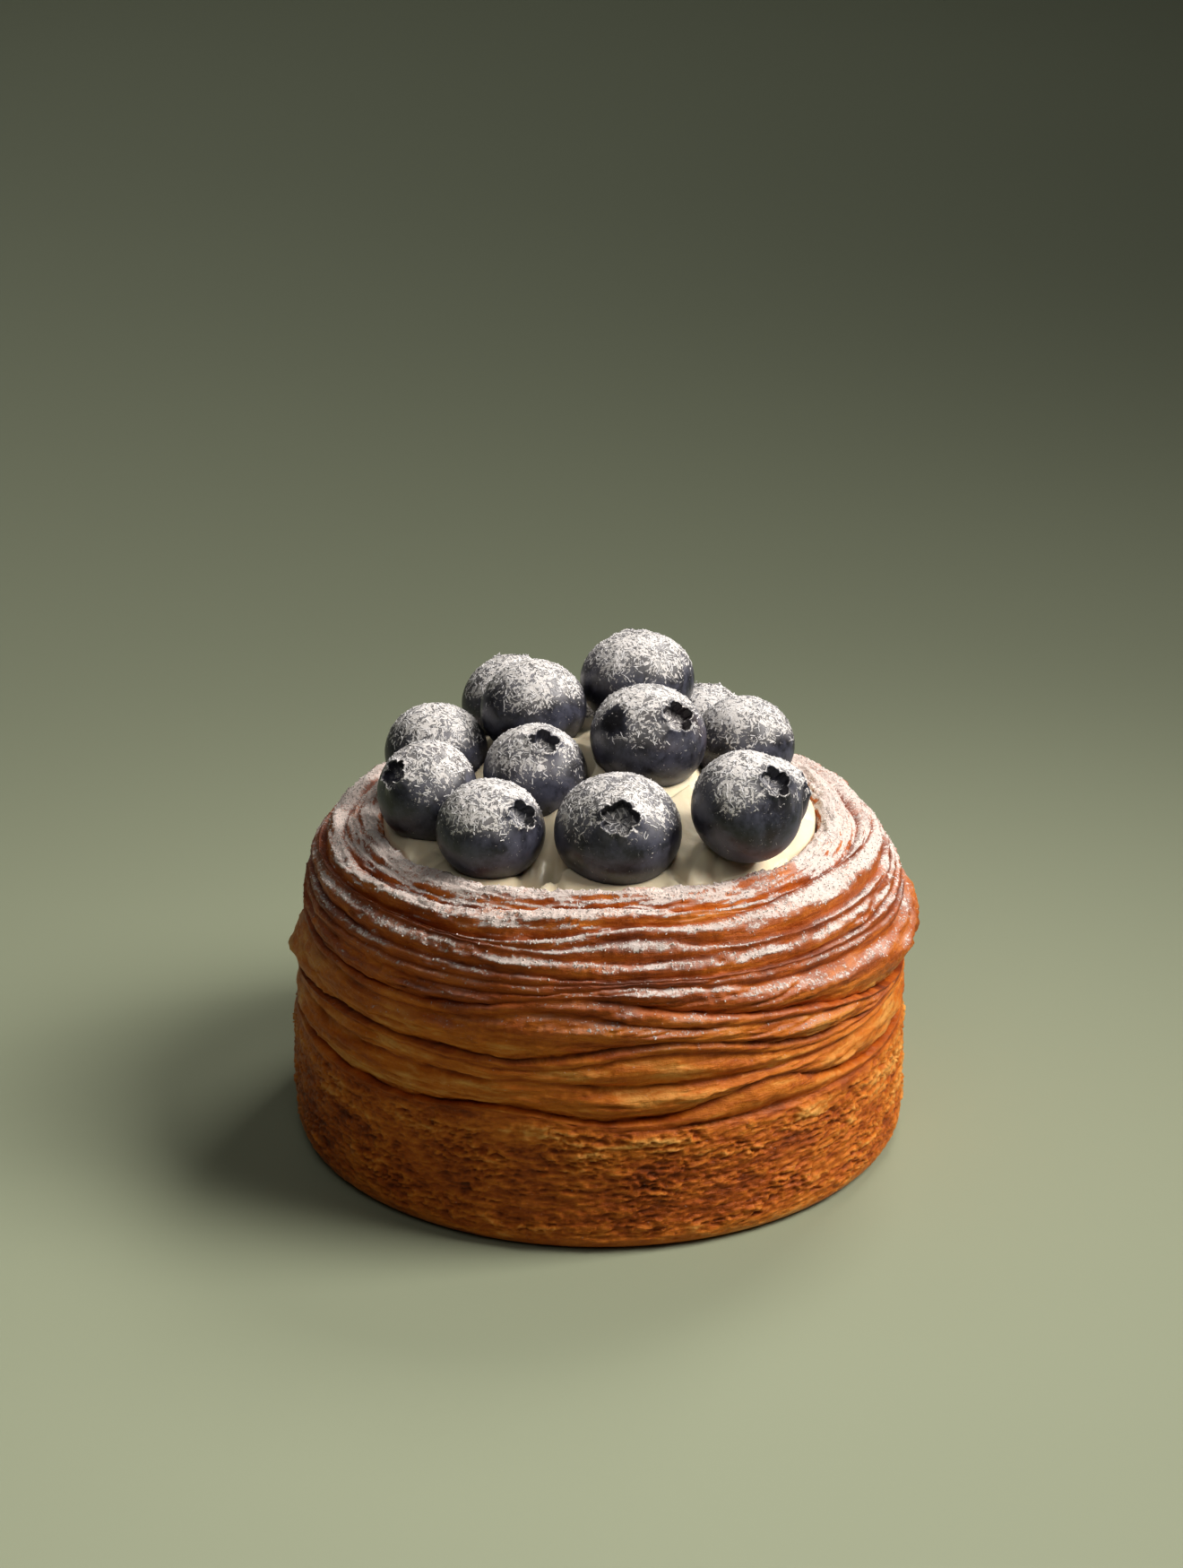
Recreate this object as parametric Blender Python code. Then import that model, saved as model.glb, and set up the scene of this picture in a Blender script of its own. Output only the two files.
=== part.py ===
"""A laminated pastry baked in a ring, filled with piped cream and topped with a heap of berries.

Metres, +Z up. The origin is the centre of the flat base. The front of the pastry faces -Y.
Angles round the pastry are in degrees from the front, positive towards +X.
Sizes are named in millimetres and become metres where a mesh is made.
"""

import math
import random

import bmesh
import bpy
import numpy as np
from mathutils import Matrix, Vector

MM = 0.001

# Pastry body
WALL_RADIUS = 42.0
WALL_HEIGHT = 30.0
FOOT_ROUND = 2.5
RIM_RADIUS = 31.5
RIM_HEIGHT = 45.5
LIP_ROUND = 2.0
WELL_FLOOR = 36.0
LIP_RISE = 2.0
LIP_RISE_SPREAD = 48.0
LIP_RISE_FROM, LIP_RISE_TO = 34.0, 50.0
FOOT_LEVELS = (0.0, 0.4, 1.3)

# Folds of the dough, as lines that run round the wall. Each has its height up the wall, measured
# along the surface, and swells: the angle where it rises, by how much, and over what spread.
FOLD_LINES = (
    (17.6, ((-18, 1.9, 16),)),
    (18.4, ((32, 3.9, 15), (-18, 1.7, 16))),
    (23.6, ((-12, 0.9, 12),)),
    (25.0, ((12, 3.4, 20), (-40, 1.2, 25))),
    (25.4, ((13, 4.4, 22), (-35, 1.6, 28))),
    (31.6, ((-8, 3.0, 16), (85, -6.5, 35))),
    (33.2, ((-4, 3.3, 20), (85, -7.5, 40))),
    (36.1, ((8, 1.9, 18), (80, -1.3, 30))),
    (37.7, ((8, 0.6, 18), (80, -1.6, 30))),
    (39.4, ((50, -1.8, 55),)),
    (40.3, ((-55, 2.2, 45), (35, 0.5, 20))),
    (41.2, ((8, 2.2, 14), (-55, 1.6, 40))),
    (42.4, ((5, 2.0, 18), (55, 3.9, 36))),
    (46.3, ((-3, 2.4, 19),)),
)
LEAST_FOLD_GAP = 0.22
HIDDEN_SWELLS = 4
HIDDEN_FROM, HIDDEN_TO = 105.0, 255.0
HIDDEN_RISE = 1.6
HIDDEN_SPREAD = (12.0, 28.0)

# Relief of one fold: it stands out most near its upper edge and tucks in below the next one.
FOLD_BULGE_SHARE = 0.30
FOLD_BULGE_MOST = 1.35
FOLD_TUCK_SHARE = 0.22
FOLD_TUCK_MOST = 1.1
FOLD_SET_BACK = 0.3
FOLD_SKEW = 1.45
FOLD_ROUNDING = 0.8
FOLD_STEPS = (0.0, 0.38, 0.8)
CRUST_STEPS = 5
CRUST_PITS = 0.28
LIP_STEPS = 5
LIP_FADE_FROM = 0.6

# How far the baked dough leans out of round: angle, height, reach outwards, and the two spreads.
PUFFS = (
    (85, 31.0, 1.7, 45, 4.2),
    (-88, 31.0, -1.2, 42, 7.0),
    (-86, 26.8, 2.0, 14, 1.3),
    (82, 41.0, 0.7, 32, 4.0),
    (185, 33.0, 0.8, 50, 7.0),
)
PUFF_FULL_FROM = 20.0

COLUMNS = 72

# Cream: a piped mound with spiral ridges, which fills the well, and the petals that stand on it.
# A petal has a crest from a start to an end (x, y, z). It falls off gently on the right-hand side
# of someone who walks along the crest, and steeply on the other.
CREAM_EDGE = 42.6
CREAM_RISE = 12.6
CREAM_FULLNESS = 2.0
CREAM_RIDGES = 8
CREAM_RIDGE_DEPTH = 1.2
CREAM_RIDGE_FROM, CREAM_RIDGE_TO = 2.0, 14.0
CREAM_RIDGE_FADE = 0.35
CREAM_TWIST = 70.0
CREAM_PETALS = (
    ((12.1, -8.5, 52.2), (23.4, -20.6, 45.2)),
    ((7.0, -20.6, 46.2), (15.8, -25.0, 45.2)),
    ((-8.4, -24.0, 45.4), (-6.4, -11.0, 48.9)),
    ((29.0, -5.0, 47.0), (24.0, -16.5, 45.3)),
    ((-26.0, -8.5, 45.6), (-17.5, -20.0, 45.2)),
    ((12.5, 15.0, 52.0), (16.9, 3.5, 51.2)),
    ((-17.6, 14.5, 49.4), (-14.6, 4.0, 50.4)),
    ((-3.6, 19.5, 52.2), (-0.6, 7.0, 53.6)),
)
PETAL_GENTLE = 0.24
PETAL_STEEP = 1.3
PETAL_END_DROP = 1.1
CREAM_RINGS = 9
CREAM_COLUMNS = 46
CREAM_BRIM = 44.7
CREAM_BRIM_SLOPE = 0.8
CREAM_BED_SHARE = 0.72
CREAM_BED_REACH = 0.75
CREAM_BED_FALL = 0.5
CREAM_DENT_SHARE = 0.30
CREAM_DENT_FROM = 0.9
CREAM_DENT_REACH = 1.9
TOUCH_GAP = 0.3

# Berries: name, centre (x, y, z), radius, how tall the berry is for its width, and the way the
# crown looks (azimuth, elevation)
BERRIES = (
    ("berry_back_left", (-12.1, 22.4, 52.3), 7.15, 0.92, (178, 68)),
    ("berry_upper_left", (-9.0, 8.6, 56.9), 7.3, 0.92, (200, 20)),
    ("berry_left", (-22.4, 7.2, 51.2), 7.1, 0.92, (-165, 12)),
    ("berry_left_rim", (-23.1, -7.1, 51.2), 6.9, 1.0, (-53, 36)),
    ("berry_front_left", (-14.4, -18.8, 50.7), 7.35, 0.91, (48, 36)),
    ("berry_middle_left", (-8.6, -5.5, 53.1), 7.05, 0.97, (22, 62)),
    ("berry_top", (5.3, 14.1, 58.9), 7.9, 0.87, (190, 40)),
    ("berry_middle", (6.6, -2.6, 57.2), 7.95, 0.90, (43, 42)),
    ("berry_front", (2.4, -20.2, 51.2), 8.45, 0.89, (2, 38)),
    ("berry_right", (19.3, -20.0, 54.5), 7.45, 1.0, (45, 45)),
    ("berry_right_low", (22.4, -7.1, 50.4), 5.9, 0.92, (95, 20)),
    ("berry_right_back", (19.8, 5.6, 53.0), 7.0, 0.92, (150, 15)),
    ("berry_back_right", (15.0, 18.9, 50.0), 6.4, 0.92, (176, 68)),
    ("berry_back", (2.0, 22.8, 47.8), 6.4, 0.92, (185, 30)),
)
BERRY_SEGMENTS = 15
BERRY_FLATTENING = 0.95
CROWN_LOBES = 5
# Outline of a berry from the crown down, as shares of its radius: distance from its axis, height
# along it, and how strongly the crown's lobes show there.
BERRY_OUTLINE = (
    (0.00, 0.76, 0.0),
    (0.14, 0.78, 0.0),
    (0.26, 0.82, 0.2),
    (0.34, 0.95, 1.0),
    (0.43, 0.91, 0.4),
    (0.68, 0.76, 0.0),
    (0.90, 0.45, 0.0),
    (1.00, 0.02, 0.0),
    (0.90, -0.45, 0.0),
    (0.60, -0.81, 0.0),
    (0.00, -0.97, 0.0),
)
CROWN_SWING = 0.055
HOLLOW_SEGMENTS = 12
HOLLOW_RINGS = 8

SHARP_ANGLE = 50.0

SEED = 7

COLOURS = {
    "crust": ((0.42, 0.17, 0.045), 0.62),
    "cream": ((0.86, 0.74, 0.55), 0.45),
    "berry": ((0.035, 0.035, 0.055), 0.5),
}


def clear_scene():
    """Remove every object, so that the part stands alone."""
    for obj in list(bpy.data.objects):
        bpy.data.objects.remove(obj)


def finish(name):
    """A Principled material of one of the named colours."""
    colour, roughness = COLOURS[name]
    material = bpy.data.materials.new(name)
    material.use_nodes = True
    shader = material.node_tree.nodes["Principled BSDF"]
    shader.inputs["Base Color"].default_value = (*colour, 1.0)
    shader.inputs["Roughness"].default_value = roughness
    shader.inputs["Metallic"].default_value = 0.0
    return material


def turn_between(angle, centre):
    """The shorter turn from centre to angle, in degrees."""
    return (angle - centre + 180.0) % 360.0 - 180.0


def bell(distance, spread):
    """A bell curve of height 1 that falls off over spread."""
    return math.exp(-((distance / spread) ** 2))


def smooth_step(value, low, high):
    """A soft step from 0 at low to 1 at high."""
    share = min(1.0, max(0.0, (value - low) / (high - low)))
    return share * share * (3.0 - 2.0 * share)


def fold_lines_all_round():
    """The fold lines, with seeded swells added on the side away from the front."""
    draw = random.Random(SEED)
    lines = []
    for height, swells in FOLD_LINES:
        hidden = tuple(
            (
                draw.uniform(HIDDEN_FROM, HIDDEN_TO),
                draw.uniform(-HIDDEN_RISE, HIDDEN_RISE),
                draw.uniform(*HIDDEN_SPREAD),
            )
            for _ in range(HIDDEN_SWELLS)
        )
        lines.append((height, swells + hidden))
    return lines


def fold_heights(lines, angle):
    """How far up the wall each fold line lies at an angle, lowest first and never crossing."""
    heights = []
    for level, swells in lines:
        height = level + sum(
            rise * bell(turn_between(angle, centre), spread)
            for centre, rise, spread in swells
        )
        if heights:
            height = max(height, heights[-1] + LEAST_FOLD_GAP)
        heights.append(height)
    return heights


class Spine:
    """The pastry's plain outline: the foot, the upright wall, the round shoulder and the lip."""

    def __init__(self):
        self.turns = np.linspace(0.0, math.pi / 2, 181)
        across = WALL_RADIUS - RIM_RADIUS
        up = RIM_HEIGHT - WALL_HEIGHT
        steps = np.hypot(across * np.sin(self.turns), up * np.cos(self.turns))
        middle = (steps[1:] + steps[:-1]) / 2 * np.diff(self.turns)
        self.lengths = np.concatenate([[0.0], np.cumsum(middle)])
        self.across, self.up = across, up
        self.shoulder_end = WALL_HEIGHT + self.lengths[-1]
        self.lip_end = self.shoulder_end + LIP_ROUND * math.pi / 2

    def at(self, distance):
        """(radius, height, outward radial share, outward upward share) at a distance up the wall."""
        if distance < FOOT_ROUND:
            drop = FOOT_ROUND - distance
            reach = math.sqrt(FOOT_ROUND**2 - drop**2)
            return WALL_RADIUS - FOOT_ROUND + reach, distance, 1.0, 0.0
        if distance <= WALL_HEIGHT:
            return WALL_RADIUS, distance, 1.0, 0.0
        if distance <= self.shoulder_end:
            turn = float(np.interp(distance - WALL_HEIGHT, self.lengths, self.turns))
            normal = Vector((self.up * math.cos(turn), self.across * math.sin(turn)))
            normal.normalize()
            radius = RIM_RADIUS + self.across * math.cos(turn)
            return radius, WALL_HEIGHT + self.up * math.sin(turn), normal.x, normal.y
        turn = math.pi / 2 + (distance - self.shoulder_end) / LIP_ROUND
        out, rise = math.cos(turn), math.sin(turn)
        radius = RIM_RADIUS + LIP_ROUND * out
        return radius, RIM_HEIGHT - LIP_ROUND + LIP_ROUND * rise, out, rise


def puffed(angle, height):
    """How far the dough leans out of round at a place on the wall."""
    return sum(
        reach * bell(turn_between(angle, centre), wide) * bell(height - level, tall)
        for centre, level, reach, wide, tall in PUFFS
    )


def fold_relief(share, width):
    """Outward relief inside one fold, from its lower line (share 0) to its upper line (share 1)."""
    bulge = min(FOLD_BULGE_SHARE * width, FOLD_BULGE_MOST)
    tuck = min(FOLD_TUCK_SHARE * width, FOLD_TUCK_MOST)
    wave = math.sin(math.pi * share**FOLD_SKEW) if 0.0 < share < 1.0 else 0.0
    swell = wave**FOLD_ROUNDING
    return bulge * swell - tuck - FOLD_SET_BACK


def round_point(angle, radius, height):
    """The point at an angle round the pastry, a radius and a height."""
    turn = math.radians(angle)
    return Vector((radius * math.sin(turn), -radius * math.cos(turn), height))


def lip_lift(angle):
    """How much higher the lip stands at an angle than at the back."""
    return LIP_RISE * bell(turn_between(angle, 0.0), LIP_RISE_SPREAD)


def wall_point(spine, angle, distance, relief):
    """A point of the crust, in millimetres, at an angle and a distance up the wall."""
    radius, height, out, rise = spine.at(distance)
    reach = relief + puffed(angle, distance) * smooth_step(distance, FOOT_ROUND, PUFF_FULL_FROM)
    lift = lip_lift(angle)
    height += reach * rise + lift * smooth_step(distance, LIP_RISE_FROM, LIP_RISE_TO)
    return round_point(angle, radius + reach * out, height)


def pastry_column(spine, lines, angle, draw):
    """The points of the pastry's outline at one angle, from the foot to the middle of the well."""
    folds = fold_heights(lines, angle)
    column = [wall_point(spine, angle, level, 0.0) for level in FOOT_LEVELS]
    for step in range(CRUST_STEPS):
        level = FOOT_ROUND + (folds[0] - FOOT_ROUND) * step / CRUST_STEPS
        column.append(wall_point(spine, angle, level, draw.uniform(-CRUST_PITS, CRUST_PITS)))
    for low, high in zip(folds, folds[1:]):
        for share in FOLD_STEPS:
            relief = fold_relief(share, high - low)
            column.append(wall_point(spine, angle, low + (high - low) * share, relief))
    top = folds[-1]
    for step in range(LIP_STEPS):
        share = step / LIP_STEPS
        level = top + (spine.lip_end - top) * share
        relief = fold_relief(share, spine.lip_end - top)
        relief *= 1.0 - smooth_step(share, LIP_FADE_FROM, 1.0)
        column.append(wall_point(spine, angle, level, relief))
    column.append(wall_point(spine, angle, spine.lip_end, 0.0))
    column.append(round_point(angle, RIM_RADIUS - LIP_ROUND, WELL_FLOOR))
    return column


def named_object(name, shape, material):
    """A smooth-shaded object from a bmesh, which is freed."""
    mesh = bpy.data.meshes.new(name)
    shape.to_mesh(mesh)
    shape.free()
    mesh.shade_smooth()
    mesh.set_sharp_from_angle(angle=math.radians(SHARP_ANGLE))
    if material:
        mesh.materials.append(material)
    return bpy.data.objects.new(name, mesh)


def loft(name, columns, first_cap, last_cap, material):
    """A closed body from columns of points that run side by side round it, with a cap at each end."""
    shape = bmesh.new()
    grid = [[shape.verts.new(point * MM) for point in column] for column in columns]
    bottom = shape.verts.new(first_cap * MM)
    top = shape.verts.new(last_cap * MM)
    for here, there in zip(grid, grid[1:] + grid[:1]):
        for low in range(len(here) - 1):
            shape.faces.new((here[low], there[low], there[low + 1], here[low + 1]))
        shape.faces.new((bottom, there[0], here[0]))
        shape.faces.new((top, here[-1], there[-1]))
    bmesh.ops.recalc_face_normals(shape, faces=shape.faces)
    return named_object(name, shape, material)


def make_pastry(spine, material):
    """The baked ring with its folds and lip, solid below the well that holds the cream."""
    draw = random.Random(SEED)
    lines = fold_lines_all_round()
    angles = [360.0 * step / COLUMNS for step in range(COLUMNS)]
    columns = [pastry_column(spine, lines, angle, draw) for angle in angles]
    return loft("pastry", columns, Vector(), Vector((0.0, 0.0, WELL_FLOOR)), material)


def crown_turn(azimuth, elevation):
    """The rotation that points a berry's axis along an azimuth from the front and an elevation."""
    turn, lift = math.radians(azimuth), math.radians(elevation)
    flat = math.cos(lift)
    way = Vector((flat * math.sin(turn), -flat * math.cos(turn), math.sin(lift)))
    return way.to_track_quat("Z", "Y").to_matrix().to_4x4()


def shape_berry(shape, radius):
    """Turn a unit ball into a berry whose crown is at +Z: its rings take the berry's outline."""
    rings = sorted({round(vert.co.z, 5) for vert in shape.verts}, reverse=True)
    for vert in shape.verts:
        ring = rings.index(round(vert.co.z, 5))
        turn = math.atan2(vert.co.y, vert.co.x)
        lobe = math.cos(CROWN_LOBES * turn)
        out, rise, crown = BERRY_OUTLINE[ring]
        reach = radius * (out + CROWN_SWING / 2 * crown * lobe)
        height = radius * BERRY_FLATTENING * (rise + CROWN_SWING * crown * lobe)
        vert.co = Vector((reach * math.cos(turn), reach * math.sin(turn), height)) * MM


def seat(shape, centre, tallness, look):
    """Turn a ball to its crown's look, press it to its height and move it to its centre."""
    press = Matrix.Diagonal((1.0, 1.0, tallness, 1.0))
    shape.transform(Matrix.Translation(Vector(centre) * MM) @ press @ crown_turn(*look))


def make_berry(name, centre, radius, tallness, look, material):
    """One berry with its crown of small lobes round a shallow dish."""
    shape = bmesh.new()
    rings = len(BERRY_OUTLINE) - 1
    bmesh.ops.create_uvsphere(shape, u_segments=BERRY_SEGMENTS, v_segments=rings, radius=1.0)
    shape_berry(shape, radius)
    seat(shape, centre, tallness, look)
    return named_object(name, shape, material)


def make_hollow(name, centre, radius, tallness, look):
    """The ball that leaves room for a berry in the cream."""
    shape = bmesh.new()
    reach = (radius + TOUCH_GAP) / math.cos(math.pi / HOLLOW_SEGMENTS) * MM
    bmesh.ops.create_uvsphere(
        shape, u_segments=HOLLOW_SEGMENTS, v_segments=HOLLOW_RINGS, radius=reach
    )
    seat(shape, centre, tallness, look)
    hollow = named_object(name + "_hollow", shape, None)
    hollow.hide_render = True
    hollow.display_type = "WIRE"
    return hollow


def petal_height(x, y, start, end):
    """The height of one petal's surface, or of its drawn-out slope, above a place."""
    begin, way = Vector(start).xy, Vector(end).xy - Vector(start).xy
    away = Vector((x, y)) - begin
    share = away.dot(way) / way.length_squared
    held = min(1.0, max(0.0, share))
    crest = start[2] + (end[2] - start[2]) * held
    past = abs(share - held) * way.length
    side = (away.y * way.x - away.x * way.y) / way.length
    slope = PETAL_STEEP if side > 0.0 else PETAL_GENTLE
    return crest - slope * abs(side) - PETAL_END_DROP * past


def bed_height(x, y, berry):
    """The height of the cream that carries one berry, above a place."""
    _, centre, radius, tallness, _ = berry
    away = (Vector((x, y)) - Vector(centre).xy).length
    top = centre[2] - CREAM_BED_SHARE * radius * tallness
    return top - CREAM_BED_FALL * max(0.0, away - CREAM_BED_REACH * radius)


def cream_height(x, y):
    """The cream's surface above a place, before the berries are pressed in."""
    reach = math.hypot(x, y)
    edge = RIM_RADIUS - LIP_ROUND
    inside = max(0.0, 1.0 - (reach / edge) ** 2)
    mound = CREAM_EDGE + CREAM_RISE * inside**CREAM_FULLNESS
    turn = math.atan2(x, -y) + math.radians(CREAM_TWIST) * reach / edge
    ridge = 2.0 * abs(math.sin(CREAM_RIDGES * turn / 2.0)) - 1.0
    grown = smooth_step(reach, CREAM_RIDGE_FROM, CREAM_RIDGE_TO) * inside**CREAM_RIDGE_FADE
    mound += CREAM_RIDGE_DEPTH * ridge * grown
    mound = max(mound, *(petal_height(x, y, *petal) for petal in CREAM_PETALS))
    mound = max(mound, *(bed_height(x, y, berry) for berry in BERRIES))
    brim = CREAM_BRIM + lip_lift(math.degrees(math.atan2(x, -y)))
    mound = min(mound, brim + CREAM_BRIM_SLOPE * (edge - reach))
    for _, (bx, by, bz), radius, _, _ in BERRIES:
        away = math.hypot(x - bx, y - by)
        ceiling = bz - CREAM_DENT_SHARE * radius
        ceiling += CREAM_DENT_REACH * max(0.0, away - CREAM_DENT_FROM * radius)
        mound = min(mound, ceiling)
    return mound


def cream_column(angle, floor):
    """Points of the cream at one angle, from the well's floor over its surface to the middle."""
    edge = RIM_RADIUS - LIP_ROUND - TOUCH_GAP
    column = [round_point(angle, edge, floor)]
    for ring in range(CREAM_RINGS):
        at = round_point(angle, edge * (1.0 - ring / CREAM_RINGS), 0.0)
        at.z = cream_height(at.x, at.y)
        column.append(at)
    return column


def make_cream(hollows, material):
    """The cream in the well, hollowed a little wider than each berry that is pressed into it."""
    floor = WELL_FLOOR + TOUCH_GAP
    angles = [360.0 * step / CREAM_COLUMNS for step in range(CREAM_COLUMNS)]
    columns = [cream_column(angle, floor) for angle in angles]
    middle = Vector((0.0, 0.0, cream_height(0.0, 0.0)))
    cream = loft("cream", columns, Vector((0.0, 0.0, floor)), middle, material)
    cut = cream.modifiers.new("berry hollows", "BOOLEAN")
    cut.operation = "DIFFERENCE"
    cut.solver = "EXACT"
    cut.operand_type = "COLLECTION"
    cut.collection = hollows
    return cream


def main():
    """Build the pastry, its cream and its berries."""
    clear_scene()
    crust, cream, berry = (finish(name) for name in COLOURS)
    parts = bpy.data.collections.new("berry pastry")
    hollows = bpy.data.collections.new("berry hollows")
    for group in (parts, hollows):
        bpy.context.scene.collection.children.link(group)
    parts.objects.link(make_pastry(Spine(), crust))
    for facts in BERRIES:
        parts.objects.link(make_berry(*facts, berry))
        hollows.objects.link(make_hollow(*facts))
    parts.objects.link(make_cream(hollows, cream))


main()
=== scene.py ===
"""Dressed model of a ring-baked laminated pastry with piped cream and sugared berries.

Metres, +Z up, front towards -Y. Angles round the pastry are in degrees from the front, positive
towards +X. Sizes are named in millimetres and become metres where a mesh is made.
"""

import itertools
import logging
import math
import random
from dataclasses import dataclass, field, replace
from enum import Enum

import bpy
import numpy as np
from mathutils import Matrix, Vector
from mathutils.bvhtree import BVHTree


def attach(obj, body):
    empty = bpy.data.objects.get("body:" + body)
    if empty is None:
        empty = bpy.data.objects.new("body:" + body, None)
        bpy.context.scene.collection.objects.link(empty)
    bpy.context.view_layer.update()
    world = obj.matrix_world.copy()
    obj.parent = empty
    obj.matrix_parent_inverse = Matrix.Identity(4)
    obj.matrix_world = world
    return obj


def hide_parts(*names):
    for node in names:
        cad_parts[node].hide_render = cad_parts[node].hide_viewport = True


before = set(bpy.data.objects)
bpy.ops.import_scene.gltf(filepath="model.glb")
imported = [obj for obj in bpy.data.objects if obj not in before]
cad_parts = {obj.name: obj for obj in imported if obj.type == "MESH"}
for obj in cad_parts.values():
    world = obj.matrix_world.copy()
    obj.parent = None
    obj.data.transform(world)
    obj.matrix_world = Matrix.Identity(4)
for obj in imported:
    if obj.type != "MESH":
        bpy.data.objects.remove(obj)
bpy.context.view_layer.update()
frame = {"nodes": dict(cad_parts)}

log = logging.getLogger("berry_pastry")

MM = 0.001
SEED = 7


class Slot(Enum):
    """Three material slot names; nothing in this script uses them."""

    CRUST = "crust"
    CREAM = "cream"
    BERRY = "berry"


def smooth_step(value: np.ndarray, low: float, high: float) -> np.ndarray:
    """A soft step from 0 at low to 1 at high."""
    share = np.clip((value - low) / (high - low), 0.0, 1.0)
    return share * share * (3.0 - 2.0 * share)


def bell(distance: np.ndarray, spread: float) -> np.ndarray:
    """A bell curve of height 1 that falls off over spread."""
    return np.exp(-((distance / spread) ** 2))


def turn_between(angle: np.ndarray, centre: float) -> np.ndarray:
    """The shorter turn from centre to angle, in degrees."""
    return (angle - centre + 180.0) % 360.0 - 180.0


class Noise:
    """Repeatable noise in space, worked out for many points at once."""

    SIZE = 4096

    def __init__(self, seed: int) -> None:
        """Draw the tables.

        Args:
            seed: Picks one pattern; the same seed gives the same noise.
        """
        draw = np.random.default_rng(seed)
        self.order = draw.permutation(self.SIZE)
        ways = draw.normal(size=(self.SIZE, 3))
        self.ways = ways / np.linalg.norm(ways, axis=1, keepdims=True)
        self.seats = draw.random((self.SIZE, 3))

    def _pick(self, cell: np.ndarray) -> np.ndarray:
        """The table entry of each lattice cell."""
        last = self.SIZE - 1
        first = self.order[cell[:, 0] & last]
        second = self.order[(first + cell[:, 1]) & last]
        return self.order[(second + cell[:, 2]) & last]

    def smooth(self, points: np.ndarray) -> np.ndarray:
        """Rolling noise between about -1 and 1.

        Args:
            points: An (n, 3) array, in units of the noise's own grain.

        Returns:
            One value for each point.
        """
        base = np.floor(points).astype(np.int64)
        part = points - base
        ease = part**3 * (part * (part * 6.0 - 15.0) + 10.0)
        total = np.zeros(len(points))
        for corner in itertools.product((0, 1), repeat=3):
            offset = np.array(corner)
            ways = self.ways[self._pick(base + offset)]
            lean = np.einsum("ij,ij->i", ways, part - offset)
            total += lean * np.prod(np.where(offset == 1, ease, 1.0 - ease), axis=1)
        return total * 1.7

    def layered(self, points: np.ndarray, layers: int = 3) -> np.ndarray:
        """Rolling noise with finer noise laid over it.

        Args:
            points: An (n, 3) array, in units of the coarsest grain.
            layers: How many times the grain is halved, counting the first.

        Returns:
            One value for each point, between about -1 and 1.
        """
        total = np.zeros(len(points))
        for layer in range(layers):
            total += self.smooth(points * 2.03**layer + 17.0 * layer) / 2.0**layer
        return total / (2.0 - 0.5 ** (layers - 1))

    def cells(self, points: np.ndarray) -> np.ndarray:
        """How far each point is from the wall between two cells, 0 on the wall."""
        base = np.floor(points).astype(np.int64)
        nearest = np.full(len(points), 9.0)
        second = np.full(len(points), 9.0)
        for offset in itertools.product((-1, 0, 1), repeat=3):
            cell = base + np.array(offset)
            away = np.linalg.norm(points - cell - self.seats[self._pick(cell)], axis=1)
            second = np.minimum(second, np.maximum(nearest, away))
            nearest = np.minimum(nearest, away)
        return second - nearest


def dressed_object(
    name: str,
    points: np.ndarray,
    faces: list[list[int]],
    marks: dict[str, np.ndarray],
    material: bpy.types.Material,
) -> bpy.types.Object:
    """A smooth-shaded object from points in metres.

    Args:
        name: The object's name.
        points: An (n, 3) array.
        faces: Point numbers of each face, outwards by the right-hand rule.
        marks: Values for each point by attribute name, as (n,) or (n, 3) arrays.
        material: The finish of every face.

    Returns:
        The object, linked to the scene.
    """
    mesh = bpy.data.meshes.new(name)
    mesh.from_pydata(points.tolist(), [], faces)
    for mark, values in marks.items():
        if values.ndim == 1:
            layer = mesh.attributes.new(mark, "FLOAT", "POINT")
            layer.data.foreach_set("value", values.astype(np.float32))
        else:
            layer = mesh.attributes.new(mark, "FLOAT_VECTOR", "POINT")
            layer.data.foreach_set("vector", values.astype(np.float32).ravel())
    mesh.materials.append(material)
    mesh.shade_smooth()
    mesh.update()
    obj = bpy.data.objects.new(name, mesh)
    bpy.context.scene.collection.objects.link(obj)
    return obj


def ring_faces(rings: int, columns: int) -> list[list[int]]:
    """Quads between rings of points that close on themselves, the first ring lowest."""
    here = np.arange(rings * columns).reshape(rings, columns)
    there = np.roll(here, -1, axis=1)
    return np.stack([here[:-1], there[:-1], there[1:], here[1:]], axis=-1).reshape(-1, 4).tolist()


def fan_faces(ring: np.ndarray, tip: int, upwards: bool) -> list[list[int]]:
    """Triangles from a ring of point numbers to a tip, facing up or down."""
    after = np.roll(ring, -1)
    pair = (ring, after) if upwards else (after, ring)
    return [[tip, int(first), int(second)] for first, second in zip(*pair)]


def terrace(value: np.ndarray, steps: float) -> np.ndarray:
    """The same relief cut into flat leaves with a thin curled edge on each."""
    level = value * steps
    base = np.floor(level)
    part = level - base
    rise = smooth_step(part, 0.0, 0.22)
    return (base + rise + 0.45 * bell(part - 0.26, 0.12)) / steps


def grid_normals(points: np.ndarray) -> np.ndarray:
    """Outward normals of rings of points, worked out from their neighbours."""
    along = np.roll(points, -1, axis=1) - np.roll(points, 1, axis=1)
    up = np.gradient(points, axis=0)
    normals = np.cross(along, up)
    return normals / np.maximum(np.linalg.norm(normals, axis=2, keepdims=True), 1e-12)


@dataclass(frozen=True)
class Pattern:
    """Shader noise: its grains in one unit, layers of finer noise, their strength and its warp."""

    scale: float
    detail: float = 3.0
    roughness: float = 0.6
    warp: float = 0.0


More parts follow.
